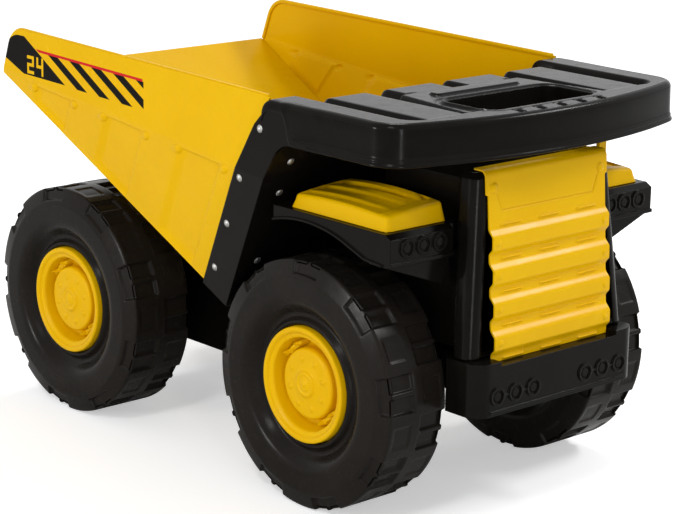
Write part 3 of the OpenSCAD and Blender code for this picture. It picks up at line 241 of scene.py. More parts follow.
def sprayed(finish, share):
    """The sprayed coat's colour, rubbed places and peel. share is how much of the deep tone shows."""
    shade = finish.ramp(finish.noise(14.0, 3.0), [(0.3, 0.0), (0.72, 1.0)])
    rub = finish.ramp(finish.noise(38.0, 4.0, 0.6), [(0.4, 0.0), (0.75, 1.0)])
    return finish.mix(shade * share, YELLOW, YELLOW_DEEP), rub, finish.noise(260.0, 2.0)


def enamel(name):
    finish = Finish(name)
    paint, rub, peel = sprayed(finish, 0.55)
    fine = finish.noise(900.0, 2.0)
    return finish.feed(
        Base_Color=paint,
        Roughness=0.17 + 0.12 * rub + fine * 0.03,
        Normal=finish.bump(peel, PEEL_DEPTH, 0.6, finish.round_edges(0.0006)),
        Specular_IOR_Level=0.09,
    )


enamel_yellow = enamel("yellow_enamel")


# %% [markdown]
# ## Printed bed
# The bed's belt carries a printed strip on both sides: a black nose with a plain number, five slanted
# bars and a red line above them. It could be cut from thin faces laid on the paint, but a print has no
# thickness and those would show a step. So it is drawn in the finish, by lines in the belt's own X
# and Z, in mm, and only where the surface looks outwards.

# %% Printed enamel
PRINT_BLACK = linear(9, 6, 4)
PRINT_RED = linear(196, 30, 34)
BAR_START, BAR_PITCH, BAR_WIDTH = -141.0, 26.35, 12.3
BAR_SLANT = 1.83            # how far a bar runs along X for each mm of height
NUMBER = "24"
NUMBER_X, NUMBER_Z, DIGIT_PITCH = 177.9, 253.4, 12.4
BAR_HALF, HALF_LONG, HALF_TALL = 1.2, 4.5, 3.4
# the bars of a plain seven-part figure, 9 mm wide and 13.6 mm high: middle, then half sizes
FIGURE = {
    "a": (4.5, 12.4, HALF_LONG, BAR_HALF), "g": (4.5, 6.8, HALF_LONG, BAR_HALF),
    "d": (4.5, 1.2, HALF_LONG, BAR_HALF),
    "b": (7.8, 10.2, BAR_HALF, HALF_TALL), "c": (7.8, 3.4, BAR_HALF, HALF_TALL),
    "e": (1.2, 3.4, BAR_HALF, HALF_TALL), "f": (1.2, 10.2, BAR_HALF, HALF_TALL),
}
SEGMENTS = {"2": "abged", "4": "fgbc"}


def number_mask(x, y, z):
    """1 on the number's bars, as an expression."""
    mask = 0.0
    # the number reads forwards on both sides, so it is turned over where Y is positive
    reading = (x + NUMBER_X) * (1.0 - 2.0 * (y > 0.0)) + 10.7
    for index, digit in enumerate(NUMBER):
        u, v = reading - DIGIT_PITCH * index, z - NUMBER_Z
        for part in SEGMENTS[digit]:
            middle_u, middle_v, half_u, half_v = FIGURE[part]
            mask = (abs(u - middle_u) < half_u) * (abs(v - middle_v) < half_v) + mask
    return mask.least(1.0)


def printed_enamel(name):
    finish = Finish(name)
    x, y, z = (finish.axis(axis) * 1000.0 for axis in "XYZ")
    facing = finish.node("ShaderNodeTexCoord", {}, {}, "Normal")
    outwards = finish.node("ShaderNodeSeparateXYZ", {}, {0: facing}, "Y") * y > 30.0
    # the underside gets a thin, dry coat
    under = finish.node("ShaderNodeSeparateXYZ", {}, {0: facing}, "Z") < -0.5
    slanted = x + BAR_SLANT * (z - 260.0)
    top = 267.1 - 0.0224 * x
    foot = 246.7 - 0.03 * x
    bars = ((slanted - BAR_START) / BAR_PITCH).part() * BAR_PITCH < BAR_WIDTH
    bars = bars * (slanted > BAR_START) * (x < -41.6) * (z < top) * (z > foot)
    red = (z > top) * (z < top + 1.9) * (x < -42.7) * (slanted > -153.0)
    corner = ((-199.5 - x).most(0.0) ** 2.0 + (z - 260.3).most(0.0) ** 2.0) < 20.2 ** 2
    nose = corner * (slanted < -154.6) * (z > 248.9 - 0.0178 * x) * (z > 262.1 - 0.372 * (x + 219.7))
    nose = nose * (1.0 - number_mask(x, y, z))
    black = (nose + bars).least(1.0) * outwards
    paint, rub, peel = sprayed(finish, 0.45)
    paint = finish.mix(red * outwards, paint, PRINT_RED)
    return finish.feed(
        Base_Color=finish.mix(black, paint, PRINT_BLACK),
        Roughness=0.24 + 0.14 * rub + 0.06 * black + 0.36 * under,
        Normal=finish.bump(peel, PEEL_DEPTH, 0.6),
        Specular_IOR_Level=0.06,
    )


bed_enamel = printed_enamel("printed_enamel")


# %% [markdown]
# ## Yellow plastic
# The hubs, the fender covers and the cab are moulded in yellow plastic. The colour goes through the
# material, so there is no peel. It shows faint flow lines from the mould and a fine grain. A light
# scattering under the surface would be true too, but it costs time and hardly shows on solid yellow.

# %% Yellow plastic
def yellow_moulding(name):
    finish = Finish(name)
    flow = finish.noise(22.0, 2.0)
    grain = finish.noise(1400.0, 2.0)
    return finish.feed(
        Base_Color=finish.mix(finish.ramp(flow, [(0.3, 0.0), (0.75, 1.0)]) * 0.5, YELLOW, YELLOW_DEEP),
        Roughness=0.26 + 0.08 * flow,
        Normal=finish.bump(grain, 0.00002, 0.5, finish.round_edges(0.0008)),
        Specular_IOR_Level=0.08,
    )


yellow_plastic = yellow_moulding("yellow_plastic")


# %% [markdown]
# ## Black plastic and black enamel
# The chassis, canopy and fenders are blow-moulded and a little shiny, the tyres are the same material
# with a coarser grain, and the hinge brackets are sprayed steel. One function makes all three, so
# that they belong together: it differs in the tones, the roughness, the grain and the round edge.
# The specular level is low, because a full one would turn black to grey in a white studio.

# %% Black plastic
def black_moulding(name, colour, worn, roughness, grain_size, edge, gloss):
    finish = Finish(name)
    cloud = finish.noise(30.0, 3.0)
    scuff = finish.noise(120.0, 6.0, 0.7)
    grain = finish.noise(grain_size, 2.0)
    return finish.feed(
        Base_Color=finish.mix(finish.ramp(cloud, [(0.35, 0.0), (0.8, 1.0)]) * 0.4, colour, worn),
        Roughness=roughness + 0.1 * finish.ramp(scuff, [(0.42, 0.0), (0.7, 1.0)]),
        Normal=finish.bump(grain, 0.00003, 0.5, finish.round_edges(edge)),
        Specular_IOR_Level=gloss,
    )


black_plastic = black_moulding("black_plastic", BLACK, BLACK_WORN, 0.15, 1100.0, 0.0010, 0.075)
tyre_plastic = black_moulding("tyre_plastic", TYRE, TYRE_WORN, 0.22, 800.0, 0.0010, 0.08)
black_enamel = black_moulding("black_enamel", BLACK, BLACK_WORN, 0.20, 700.0, 0.0005, 0.05)


# %% [markdown]
# ## Plated steel
# The axles, the hinge pin, the push nuts and the rivets are bare metal with a thin plating. Metal has
# no colour of its own under the gloss, so it is a Metallic surface with fine streaks in its
# roughness. The rivets are duller than the rods, which are polished by turning.

# %% Plated steel
def plated(name, roughness):
    finish = Finish(name)
    streak = finish.noise(400.0, 4.0, 0.7)
    return finish.feed(
        Base_Color=finish.mix(streak, STEEL, STEEL_DULL),
        Roughness=roughness + 0.15 * streak,
        Metallic=1.0,
        Normal=finish.bump(streak, 0.00002, 0.4, finish.round_edges(0.0003)),
    )


plated_steel = plated("plated_steel", 0.25)
zinc = plated("zinc", 0.35)


# %% [markdown]
# ## Finishes on the CAD nodes
# Every node of the frame names the slot of its material in the record. A table from slot to finish
# dresses all of them in one loop, which is safer than naming the nodes one by one.

# %% Dressed nodes
SLOT_FINISH = {
    "yellow_steel": enamel_yellow, "yellow_plastic": yellow_plastic, "hub_plastic": yellow_plastic,
    "black_plastic": black_plastic, "black_steel": black_enamel, "tyre": tyre_plastic,
    "plated_steel": plated_steel, "zinc": zinc,
}
node_slot = {row["node"]: row["material_slot"] for row in frame["record"]["subparts"]}
for name, obj in frame["nodes"].items():
    finish = SLOT_FINISH[node_slot[name]]
    if not obj.material_slots:
        obj.data.materials.append(finish)
    for slot in obj.material_slots:
        slot.material = finish
print("finished nodes:", len(frame["nodes"]))


# %% [markdown]
# ## Working on a piece
# Every operator acts on what is selected, so each step starts from nothing selected. A finished piece
# keeps its place in its mesh, with its object at the origin. The steps that come back again and again
# are short functions: picking a piece, entering edit mode with all of it selected, turning its faces
# outwards, cutting it by a plane, dropping faces, giving a sheet its thickness, mirroring, joining.

# %% Modelling helpers
def clear():
    if bpy.context.object and bpy.context.object.mode != "OBJECT":
        bpy.ops.object.mode_set(mode="OBJECT")
    bpy.ops.object.select_all(action="DESELECT")


def pick(obj):
    clear()
    obj.select_set(True)
    bpy.context.view_layer.objects.active = obj


def edit(obj):
    """Edit mode on one piece, with all of it selected."""
    pick(obj)
    bpy.ops.object.mode_set(mode="EDIT")
    bpy.ops.mesh.select_all(action="SELECT")


def new_piece(name, points, edges, faces):
    """A new object from points in metres."""
    mesh = bpy.data.meshes.new(name)
    mesh.from_pydata(points, edges, faces)
    obj = bpy.data.objects.new(name, mesh)
    scene.collection.objects.link(obj)
    return obj


def twin(obj):
    """A copy of a piece, with a mesh of its own."""
    copy = obj.copy()
    copy.data = obj.data.copy()
    scene.collection.objects.link(copy)
    return copy


def face_outwards(obj):
    edit(obj)
    bpy.ops.mesh.normals_make_consistent(inside=False)
    bpy.ops.object.mode_set(mode="OBJECT")


def keep_side(obj, place, normal):
    """Cuts the piece by a plane and keeps the part behind it."""
    edit(obj)
    bpy.ops.mesh.bisect(plane_co=[v * MM for v in place], plane_no=normal, clear_outer=True, threshold=1e-7)
    bpy.ops.object.mode_set(mode="OBJECT")


def drop_faces(obj, unwanted):
    """Deletes the faces for which unwanted(face) holds."""
    edit(obj)
    bpy.ops.mesh.select_all(action="DESELECT")
    shape = bmesh.from_edit_mesh(obj.data)
    for face in shape.faces:
        face.select_set(unwanted(face))
    bmesh.update_edit_mesh(obj.data)
    bpy.ops.mesh.delete(type="FACE")
    bpy.ops.object.mode_set(mode="OBJECT")


def thicken(obj, thickness, offset):
    """Gives a sheet its thickness in mm, inwards where the offset is -1."""
    pick(obj)
    modifier = obj.modifiers.new("sheet", "SOLIDIFY")
    modifier.thickness = thickness * MM
    modifier.offset = offset
    modifier.use_even_offset = True
    bpy.ops.object.modifier_apply(modifier=modifier.name)


def mirror_across(obj):
    """Turns a piece into its mirror image across Y = 0. A mirror image is inside out, so it is flipped."""
    pick(obj)
    obj.scale = (1.0, -1.0, 1.0)
    bpy.ops.object.transform_apply(location=False, rotation=False, scale=True)
    edit(obj)
    bpy.ops.mesh.flip_normals()
    bpy.ops.object.mode_set(mode="OBJECT")


def join(first, *others):
    """Makes the others part of the first piece."""
    clear()
    for obj in (first, *others):
        obj.select_set(True)
    bpy.context.view_layer.objects.active = first
    bpy.ops.object.join()


def compare_boxes(obj):
    """Prints the box of a piece, in mm."""
    spots = [vertex.co for vertex in obj.data.vertices]
    print(obj.name, [[round(end(spot[k] for spot in spots) / MM, 2) for k in range(3)] for end in (min, max)])


# %% [markdown]
# ## Placing a finished piece
# Every piece keeps its object at the origin, so a piece's place is applied to its mesh. The same step
# names the piece, gives it its finish and its smooth shading, puts it under the body that carries it,
# and hides the CAD node it stands for. These lines could stand at every piece, but one function can't
# leave one of them out.

# %% Placing a finished piece
def settle(obj, name, body, finish, replaced, smooth):
    """Names a piece, gives it its finish, its place in its mesh and the body it moves with."""
    pick(obj)
    obj.name = obj.data.name = name
    bpy.ops.object.transform_apply(location=True, rotation=True, scale=True)
    obj.data.materials.clear()
    obj.data.materials.append(finish)
    bpy.ops.object.shade_smooth_by_angle(angle=math.radians(smooth))
    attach(obj, body)
    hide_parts(replaced)
    print(name, len(obj.data.polygons), "faces")


# %% [markdown]
# ## Curves and reliefs
# Three forms come back: a section spun round an axle, a sheet of points, and a bar swept through
# rings. Pockets, ribs and dimples are added to them as smooth functions of the place. They could be
# cut with Booleans, but a function leaves no seam, and its edges are as soft as a moulding's.

# %% Curves and reliefs
def spun(name, profile, steps):
    """Spins a closed profile of (radius, width) pairs, in mm, about Y, round the origin."""
    points = [(radius * MM, width * MM, 0.0) for radius, width in profile]
    count = len(points)
    obj = new_piece(name, points, [(i, (i + 1) % count) for i in range(count)], [])
    edit(obj)
    bpy.ops.mesh.spin(steps=steps, angle=2.0 * math.pi, center=(0.0, 0.0, 0.0), axis=(0.0, 1.0, 0.0))
    bpy.ops.mesh.select_all(action="SELECT")
    bpy.ops.mesh.remove_doubles(threshold=1e-6)
    bpy.ops.mesh.normals_make_consistent(inside=False)
    bpy.ops.object.mode_set(mode="OBJECT")
    return obj


def step(edge0, edge1, x):
    """Smooth change from 0 at edge0 to 1 at edge1."""
    t = min(1.0, max(0.0, (x - edge0) / (edge1 - edge0)))
    return t * t * (3.0 - 2.0 * t)


def band(centre, half, soft, x):
    """1 within half of the centre, falling to 0 over the soft width."""
    return 1.0 - step(half - soft / 2, half + soft / 2, abs(x - centre))


def dome(gap, radius):
    """A round bump: 1 in its middle, and 0 from the radius outwards."""
    return math.sqrt(max(0.0, 1.0 - (gap / radius) ** 2))


def resample(points, length):
    """Points along a polyline at nearly equal distances, with its corners kept."""
    result = []
    for (x0, y0), (x1, y1) in zip(points, points[1:]):
        count = max(1, round(math.dist((x0, y0), (x1, y1)) / length))
        result += [(x0 + (x1 - x0) * i / count, y0 + (y1 - y0) * i / count) for i in range(count)]
    return result + [points[-1]]


def rounded(points, passes=2):
    """Cuts the corners of a polyline, so that it becomes a smooth curve."""
    for _ in range(passes):
        cut = [points[0]]
        for (x0, y0), (x1, y1) in zip(points, points[1:]):
            cut += [(0.75 * x0 + 0.25 * x1, 0.75 * y0 + 0.25 * y1),
                    (0.25 * x0 + 0.75 * x1, 0.25 * y0 + 0.75 * y1)]
        points = cut + [points[-1]]
    return points


def spread(start, end, coarse, fine_spots=(), reach=0.0, fine=1.0):
    """Values from start to end, close together near the given spots."""
    values, at = [], start
    while at < end:
        values.append(at)
        near = any(abs(at - spot) < reach for spot in fine_spots)
        at += fine if near else coarse
    return values + [end]


def sheet(name, rows, columns, place):
    """A grid of points, given in mm by place(column, row)."""
    points = [place(c, r) * MM for r in rows for c in columns]
    wide = len(columns)
    faces = [(j * wide + i, j * wide + i + 1, (j + 1) * wide + i + 1, (j + 1) * wide + i)
             for j in range(len(rows) - 1) for i in range(wide - 1)]
    return new_piece(name, points, [], faces)


def swept(name, rings):
    """A closed bar through rings of points, in metres."""
    around = len(rings[0])
    points = [point for ring in rings for point in ring]
    faces = []
    for j in range(len(rings) - 1):
        for i in range(around):
            k = (i + 1) % around
            faces.append((j * around + i, j * around + k, (j + 1) * around + k, (j + 1) * around + i))
    faces += [tuple(range(around)), tuple(range(len(points) - around, len(points)))]
    obj = new_piece(name, points, [], faces)
    face_outwards(obj)
    return obj


# %% [markdown]
# ## Tyres
# The tyres are blown like bottles, so the pockets in the tread have soft edges, and the sidewall
# rolls into a ring round the hub. Each half of the tread has nine pockets, half a pitch apart. The
# pockets could be cut with a Boolean, but that leaves sharp edges and long thin faces. Here a spun
# section gives the carcass, and its points are pushed in where a pocket is, with the points crowded
# at the pockets' edges. One tyre is made round the origin and copied to the four wheels.

# %% Tyre section
POCKETS = 9
PITCH = 360.0 / POCKETS
wheel_low, wheel_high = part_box("tyre_front_right")
print("tyre radius", round((wheel_high[2] - wheel_low[2]) / 2, 4))

sidewall_out = resample(rounded([
    (40.0, 9.0), (40.2, 20.5), (41.0, 22.6), (43.0, 22.9), (44.6, 20.8), (46.0, 19.0), (48.4, 19.0),
    (50.6, 21.2), (53.2, 24.4), (56.2, 26.9), (60.0, 27.9), (64.0, 28.0), (68.4, 28.0), (72.6, 27.95)]), 1.6)
sidewall_in = resample(rounded([
    (72.6, -27.95), (66.0, -28.0), (60.0, -27.6), (52.0, -21.6), (40.0, -19.4), (24.0, -19.2),
    (17.0, -20.0), (15.2, -22.0), (14.6, -27.6), (11.0, -28.0), (4.1, -28.0)], 1), 3.0)
bore = [(4.1, -20.0), (4.1, 8.0), (20.0, 8.0)]
shoulder = resample(rounded([
    (73.2, 27.9), (74.4, 27.7), (84.4, 24.9), (85.35, 24.2), (85.5, 23.2)]), 0.75)
crown = resample([(85.5, 23.2), (85.5, 0.4)], 0.95)
tread_half = shoulder[:-1] + crown
tread = tread_half + [(r, -w) for r, w in reversed(tread_half)]
section = sidewall_out + tread + sidewall_in + bore
tread_start = len(sidewall_out)
print("tyre section", len(section), "points, tread", len(tread))

# degrees from the middle of a half pitch, crowded where a pocket or its bar has an edge
edge_angles = [0.4, 1.0, 1.5, 2.0, 3.2, 4.6, 5.2, 5.7, 6.5, 7.4, 8.0, 8.5, 9.0, 9.6]
cell_angles = [-a for a in reversed(edge_angles)] + edge_angles
columns = [k * PITCH / 2 + a for k in range(2 * POCKETS) for a in cell_angles]


# %% Pockets in the tread
CROWN_EDGE = 23.4           # where the crown ends and the sloping shoulder starts
POCKET_DEPTH, POCKET_HALF = 2.6, 8.6
BAR_DEPTH, BAR_HALF_ANGLE = 2.3, 1.25
SQUARE_DEPTH, SQUARE_HALF = 0.75, 5.2


def tread_depth(angle, radius, width):
    """How far a point of the tread is sunk, in mm."""
    centre = 0.0 if width > 0 else PITCH / 2
    local = (angle - centre + PITCH / 2) % PITCH - PITCH / 2
    across = abs(width)
    inside = step(76.0, 77.4, radius) if across > CROWN_EDGE else 1.0
    pocket = band(0.0, POCKET_HALF, 0.9, local) * step(2.6, 3.9, across) * inside
    depth = POCKET_DEPTH * pocket
    # a bar stands in the middle of each pocket, on the crown only
    on_crown = 1.0 - step(CROWN_EDGE, 24.6, across)
    depth -= BAR_DEPTH * pocket * on_crown * band(0.0, BAR_HALF_ANGLE, 0.9, local)
    # a shallow square between two pockets of the same half
    gap = (local + PITCH) % PITCH - PITCH / 2
    square = band(0.0, SQUARE_HALF, 0.7, gap) * band(13.0, 7.4, 1.1, across)
    return depth + SQUARE_DEPTH * square


# %% Tyre mesh
def tyre_mesh():
    """The spun carcass, with its points moved to the crowded angles and sunk where a pocket is."""
    obj = spun("tyre", section, len(columns))
    step_angle = 360.0 / len(columns)
    rows = {(round(r, 2), round(w, 2)): i for i, (r, w) in enumerate(section)}
    for vertex in obj.data.vertices:
        x, y, z = (v / MM for v in vertex.co)
        radius = math.hypot(x, z)
        index = rows.get((round(radius, 2), round(y, 2)))
        if index is None:
            index = min(range(len(section)),
                        key=lambda k: abs(section[k][0] - radius) + abs(section[k][1] - y))
        radius, y = section[index]
        column = round(math.degrees(math.atan2(z, x)) / step_angle) % len(columns)
        angle = columns[column]
        if tread_start <= index < tread_start + len(tread):
            depth = tread_depth(angle, radius, y)
            if abs(y) > 23.3:
                # the shoulder's pocket sinks square to its slope
                radius, y = radius - 0.29 * depth, y - math.copysign(0.957 * min(depth, 2.2), y)
            else:
                radius -= depth
        turned = math.radians(angle)
        vertex.co = (radius * math.cos(turned) * MM, y * MM, radius * math.sin(turned) * MM)
    print("tyre points", len(obj.data.vertices))
    return obj


# %% Four tyres
tyre_master = tyre_mesh()
axles = {}
for corner in ("front_right", "front_left", "rear_right", "rear_left"):
    low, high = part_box("tyre_" + corner)
    axles[corner] = Vector(((low[0] + high[0]) / 2, (low[1] + high[1]) / 2, (low[2] + high[2]) / 2))


def at_wheels(master, kind, finish, smooth, turns):
    """Copies a wheel's piece, made to face +Y, to the four corners, each turned by its own degrees."""
    for corner, turn_by in turns.items():
        copy = twin(master)
        face = math.pi if corner.endswith("right") else 0.0
        copy.matrix_world = (Matrix.Translation(axles[corner]) @ Matrix.Rotation(face, 4, "Z")
                             @ Matrix.Rotation(math.radians(turn_by), 4, "Y"))
        settle(copy, kind + "_skin_" + corner, "wheel_" + corner, finish, kind + "_" + corner, smooth)
    bpy.data.objects.remove(master)


at_wheels(tyre_master, "tyre", tyre_plastic, 60,
          {"front_right": -12.0, "front_left": -8.0, "rear_right": 1.0, "rear_left": -21.0})


# %% [markdown]
# ## Hubs
# A hub is a deep moulded dish with a rolled rim. On its floor stand a raised disc with a ring and a
# nub in the middle, eight small studs, and two clusters of lugs that tie the disc to the wall. The
# lugs could be boxes joined to the dish, but a moulding has no seams, and its lugs melt into the
# floor. So the dish is spun with fine steps and the relief is added to the height of its points.

# %% Hub
hub_front = rounded([
    (0.0, 24.0), (3.6, 24.0), (4.6, 23.5), (5.4, 22.9), (6.6, 23.6), (8.2, 23.5), (9.4, 22.0), (11.6, 21.7),
    (13.0, 21.3), (21.8, 21.0), (23.6, 20.4), (24.5, 18.6), (24.7, 14.0), (26.0, 12.0), (28.6, 12.0),
    (30.4, 14.6), (31.8, 22.0), (32.6, 23.4), (35.0, 24.0), (36.0, 25.4), (37.2, 26.1), (38.8, 26.1),
    (39.8, 25.2), (40.0, 22.0)])
hub_back = [(40.0, 9.0), (38.4, 9.0), (38.0, 20.0), (30.0, 11.0), (0.0, 10.6)]
hub_section = resample(hub_front, 0.8) + hub_back
HUB_STEPS = 240
STUDS, STUD_RING = 8, 17.0
LUG_X, LUG_Y = 27.2, 8.4
RIM_REACH = 24.6            # nothing on the floor stands higher than this


def hub_relief(u, v, radius, base):
    """Extra height in mm at a place on the hub's face."""
    height = 0.0
    for stud in range(STUDS):
        a = math.radians(22.5 + 45 * stud)
        gap = math.hypot(u - STUD_RING * math.cos(a), v - STUD_RING * math.sin(a))
        height += 1.0 - step(1.2, 2.3, gap)
    for side in (1, -1):
        # a bracket that fills the moat, with a lug at each end
        moat = 1.0 - step(12.2, 15.0, base)
        height += 5.0 * moat * band(side * 27.6, 3.0, 1.2, u) * band(0.0, 7.0, 1.4, v)
        for lug in (-LUG_Y, LUG_Y):
            height += 6.2 * moat * (1 - step(1.8, 3.0, math.hypot(u - side * LUG_X, v - lug)))
        height += 1.6 * moat * band(side * 27.6, 1.2, 0.7, u) * band(0.0, 2.4, 0.8, v)
    # three low lobes on the nub
    angle = math.atan2(v, u)
    height += 0.7 * (1 - step(0.9 + 0.9 * (0.5 + 0.5 * math.cos(3 * angle)), 2.2, radius))
    return height


hub_master = spun("hub", hub_section, HUB_STEPS)
for vertex in hub_master.data.vertices:
    x, y, z = (v / MM for v in vertex.co)
    radius = math.hypot(x, z)
    if y > 11.3 and radius < 33.0:
        vertex.co.y = min(RIM_REACH, y + hub_relief(x, z, radius, y)) * MM
print("hub points", len(hub_master.data.vertices))
at_wheels(hub_master, "hub", yellow_plastic, 50,
          {"front_right": -50.0, "front_left": 50.0, "rear_right": -50.0, "rear_left": 50.0})


# %% [markdown]
# ## Bed
# The bed is one stamping folded at the floor, with pressed panels that lean with the bulkhead, round
# dimples, a bend between belt and panel, and a rolled rim. A box that is extruded and inset can't
# hold a face at a measured place on a sheet that leans and tapers, and the presses' soft edges need
# points along them. So each side is a grid of points laid out along the panels' lean, cut to the
# outline by bisect planes and thickened by Solidify. The measures are those of the solids, in mm.

# %% Bed measures
LEAN = math.radians(31.8)                           # of the bulkhead, and of the pressed panels
TAIL, FOOT = (-223.25, 250.0), (29.75, 121.09)      # X and Z of the floor's two ends
FLOOR_ANGLE = math.radians(27.0)
TAPER = math.tan(math.radians(1.36))                # the bed narrows towards the tail
RIM_FRONT = (94.96, 280.0)
BED_HALF = 135.0
SHEET = 1.2
EAR_LEAN, EAR_R, EAR_Z = math.radians(20.0), 21.0, 286.0
EAR_X = (TAIL[0] + (EAR_Z - TAIL[1]) * math.tan(EAR_LEAN)
         + EAR_R * math.tan(math.radians(45.0) - EAR_LEAN / 2))
BEND = Vector((46.75, 133.855, 228.0))              # a place on the bend between belt and panel
BEND_SLOPE = 0.0942
PANEL_TURN = Matrix.Rotation(math.radians(2.35), 3, "Z") @ Matrix.Rotation(math.radians(-10.4), 3, "X")
PANELS = [-33.25 - 88.5 * i for i in range(3)]
PANEL_DEPTH = 2.1
DIMPLE_R, DIMPLE_HEIGHT = 3.4, 1.35
ACROSS = math.cos(LEAN) + BEND_SLOPE * math.sin(LEAN)
CANOPY_GAP = 2.8 / math.cos(LEAN)                   # the bulkhead's wall, measured along X
print("ear starts at X", round(EAR_X, 2), "mm")


def belt_y(x):
    return BED_HALF + (x - RIM_FRONT[0]) * TAPER


def press(across, along):
    """How far a side is sunk at a place, in mm: across the lean from BEND, and along it from the bend."""
    depth = 0.0
    for start in PANELS:
        at = (across - start) * ACROSS
        sunk = step(-14.0, -5.0, at) * (1.0 - step(27.4, 30.2, at))
        depth += PANEL_DEPTH * sunk * (1.0 - step(-5.4, -2.8, along))
        for dimple in (-15.6, 39.6):
            gap = math.hypot(at - dimple * math.cos(LEAN), along + 6.2)
            depth -= DIMPLE_HEIGHT * dome(gap, DIMPLE_R)
    return depth


def side_point(across, along):
    """A place on the left side's outer face, in mm."""
    base = BEND + PANEL_TURN @ Vector((across, 0.0, -across * BEND_SLOPE))
    x, z = base.x + along * math.sin(LEAN), base.z + along * math.cos(LEAN)
    # the relief dies out at the fold, which stays straight
    above = (z - TAIL[1]) * math.cos(FLOOR_ANGLE) + (x - TAIL[0]) * math.sin(FLOOR_ANGLE)
    depth = press(across, along) * step(0.2, 5.0, above)
    if along > 0.0:
        return Vector((x, belt_y(x) - depth, z))
    out = PANEL_TURN @ Vector((along * math.sin(LEAN), -depth, along * math.cos(LEAN)))
    return base + out


# %% Bed side
# points crowd at the panels' slanted edges and at the row of dimples
spots = [start + at / ACROSS for start in PANELS for at in (-13.5, -4.0, 28.9, 33.6)]
side_columns = spread(-330.0, 110.0, 3.2, spots, 4.6, 0.55)
side_rows = spread(-150.0, -12.5, 2.2) + spread(-11.5, 1.0, 0.5)[:-1] + spread(1.0, 66.0, 6.0)
left_side = sheet("bed_side_left", side_rows, side_columns, side_point)
print("side", len(left_side.data.polygons), "faces before the cuts")

# %% Outline of the bed's side
EAR_STEPS = 14
INSET = 1.0                 # the sheet ends inside the rolled rim
RIM_DROP = EAR_Z - RIM_FRONT[1]
ear_arc = [math.pi / 2 + (math.pi / 2 - EAR_LEAN) * i / EAR_STEPS for i in range(EAR_STEPS + 1)]
rim_tilt = math.atan2(RIM_DROP, RIM_FRONT[0] - EAR_X)
keep_side(left_side, (TAIL[0] + INSET, 0, TAIL[1]), (-math.cos(EAR_LEAN), 0, math.sin(EAR_LEAN)))
for angle in ear_arc:
    out = (math.cos(angle), 0.0, math.sin(angle))
    keep_side(left_side, (EAR_X + (EAR_R - INSET) * out[0], 0, EAR_Z - EAR_R + (EAR_R - INSET) * out[2]), out)
keep_side(left_side, (EAR_X, 0, EAR_Z - INSET), (math.sin(rim_tilt), 0, math.cos(rim_tilt)))
keep_side(left_side, (TAIL[0], 0, TAIL[1]), (-math.sin(FLOOR_ANGLE), 0, -math.cos(FLOOR_ANGLE)))
keep_side(left_side, (FOOT[0] - CANOPY_GAP, 0, FOOT[1]), (math.cos(LEAN), 0, -math.sin(LEAN)))


def under_canopy(face):
    """The belt steps down where the canopy covers it."""
    middle = face.calc_center_median() / MM
    return middle.x > RIM_FRONT[0] + 1.0 and middle.z > 268.5


drop_faces(left_side, under_canopy)
thicken(left_side, SHEET, -1.0)
print("side", len(left_side.data.polygons), "faces", [round(v / MM, 1) for v in left_side.dimensions])


# %% [markdown]
# ## Rolled rim
# The sheet's top edge is rolled over, so that no child meets raw steel. A curve with a bevel would
# give a round tube. The real roll is flattened against the side, so its section is a rounded square,
# written ring by ring along the same outline that cut the sheet.

# %% Rolled rim
BEAD = 1.5                  # half the roll's height
ROLL_HALF = 1.2
ROLL_SIDES = 12
SQUARENESS = 0.7            # 1 is round, 0 is square


def roll_ring(place, out):
    """One ring of the roll: flat across Y, and BEAD high along out."""
    ring = []
    for k in range(ROLL_SIDES):
        a = 2.0 * math.pi * k / ROLL_SIDES
        c, d = math.cos(a), math.sin(a)
        flat = math.copysign(abs(c) ** SQUARENESS, c) * ROLL_HALF
        high = math.copysign(abs(d) ** SQUARENESS, d) * BEAD
        ring.append((place + Vector((out[0] * high, flat, out[1] * high))) * MM)
    return ring


edge = [((TAIL[0] + 1.4 * math.tan(EAR_LEAN) + BEAD / math.cos(EAR_LEAN), TAIL[1] + 1.4),
         (-math.cos(EAR_LEAN), math.sin(EAR_LEAN)))]
for angle in reversed(ear_arc):
    out = (math.cos(angle), math.sin(angle))
    edge.append(((EAR_X + (EAR_R - BEAD) * out[0], EAR_Z - EAR_R + (EAR_R - BEAD) * out[1]), out))
for i in range(1, 9):
    t = i / 8
    edge.append(((EAR_X + (RIM_FRONT[0] - EAR_X) * t, EAR_Z - RIM_DROP * t - BEAD), (0.0, 1.0)))
rim = swept("rim", [roll_ring(Vector((x, belt_y(x) - 0.6, z)), out) for (x, z), out in edge])
print("rim", len(edge), "rings")


# %% [markdown]
# ## Bed floor and assembly
# The floor is a plain sloping sheet between the two sides, cut by the sides' own planes. Side and rim
# are mirrored for the right, and all of them become one piece, because the real bed is one stamping.

# %% Bed floor
def floor_point(x, y):
    return Vector((x, y, TAIL[1] - (x - TAIL[0]) * math.tan(FLOOR_ANGLE)))


floor_rows = spread(-140.0, 140.0, 6.0)
floor_columns = spread(TAIL[0], FOOT[0] - CANOPY_GAP, 6.0)
bed_floor = sheet("bed_floor", floor_rows, floor_columns, floor_point)
for side in (1, -1):
    out = PANEL_TURN @ Vector((0.0, 1.0, 0.0))
    keep_side(bed_floor, (BEND.x, side * (BEND.y - 0.5), BEND.z), (out.x, side * out.y, out.z))
    keep_side(bed_floor, (RIM_FRONT[0], side * (BED_HALF - 0.5), 0), (-TAPER, side, 0))
thicken(bed_floor, SHEET, 1.0)
print("floor", len(bed_floor.data.polygons), [round(v / MM, 1) for v in bed_floor.dimensions])

# %% Bed assembly
join(left_side, rim)
right_side = twin(left_side)
mirror_across(right_side)
join(left_side, right_side, bed_floor)
settle(left_side, "bed_skin", "dump_bed", bed_enamel, "bed_shell", 35)
compare_boxes(left_side)


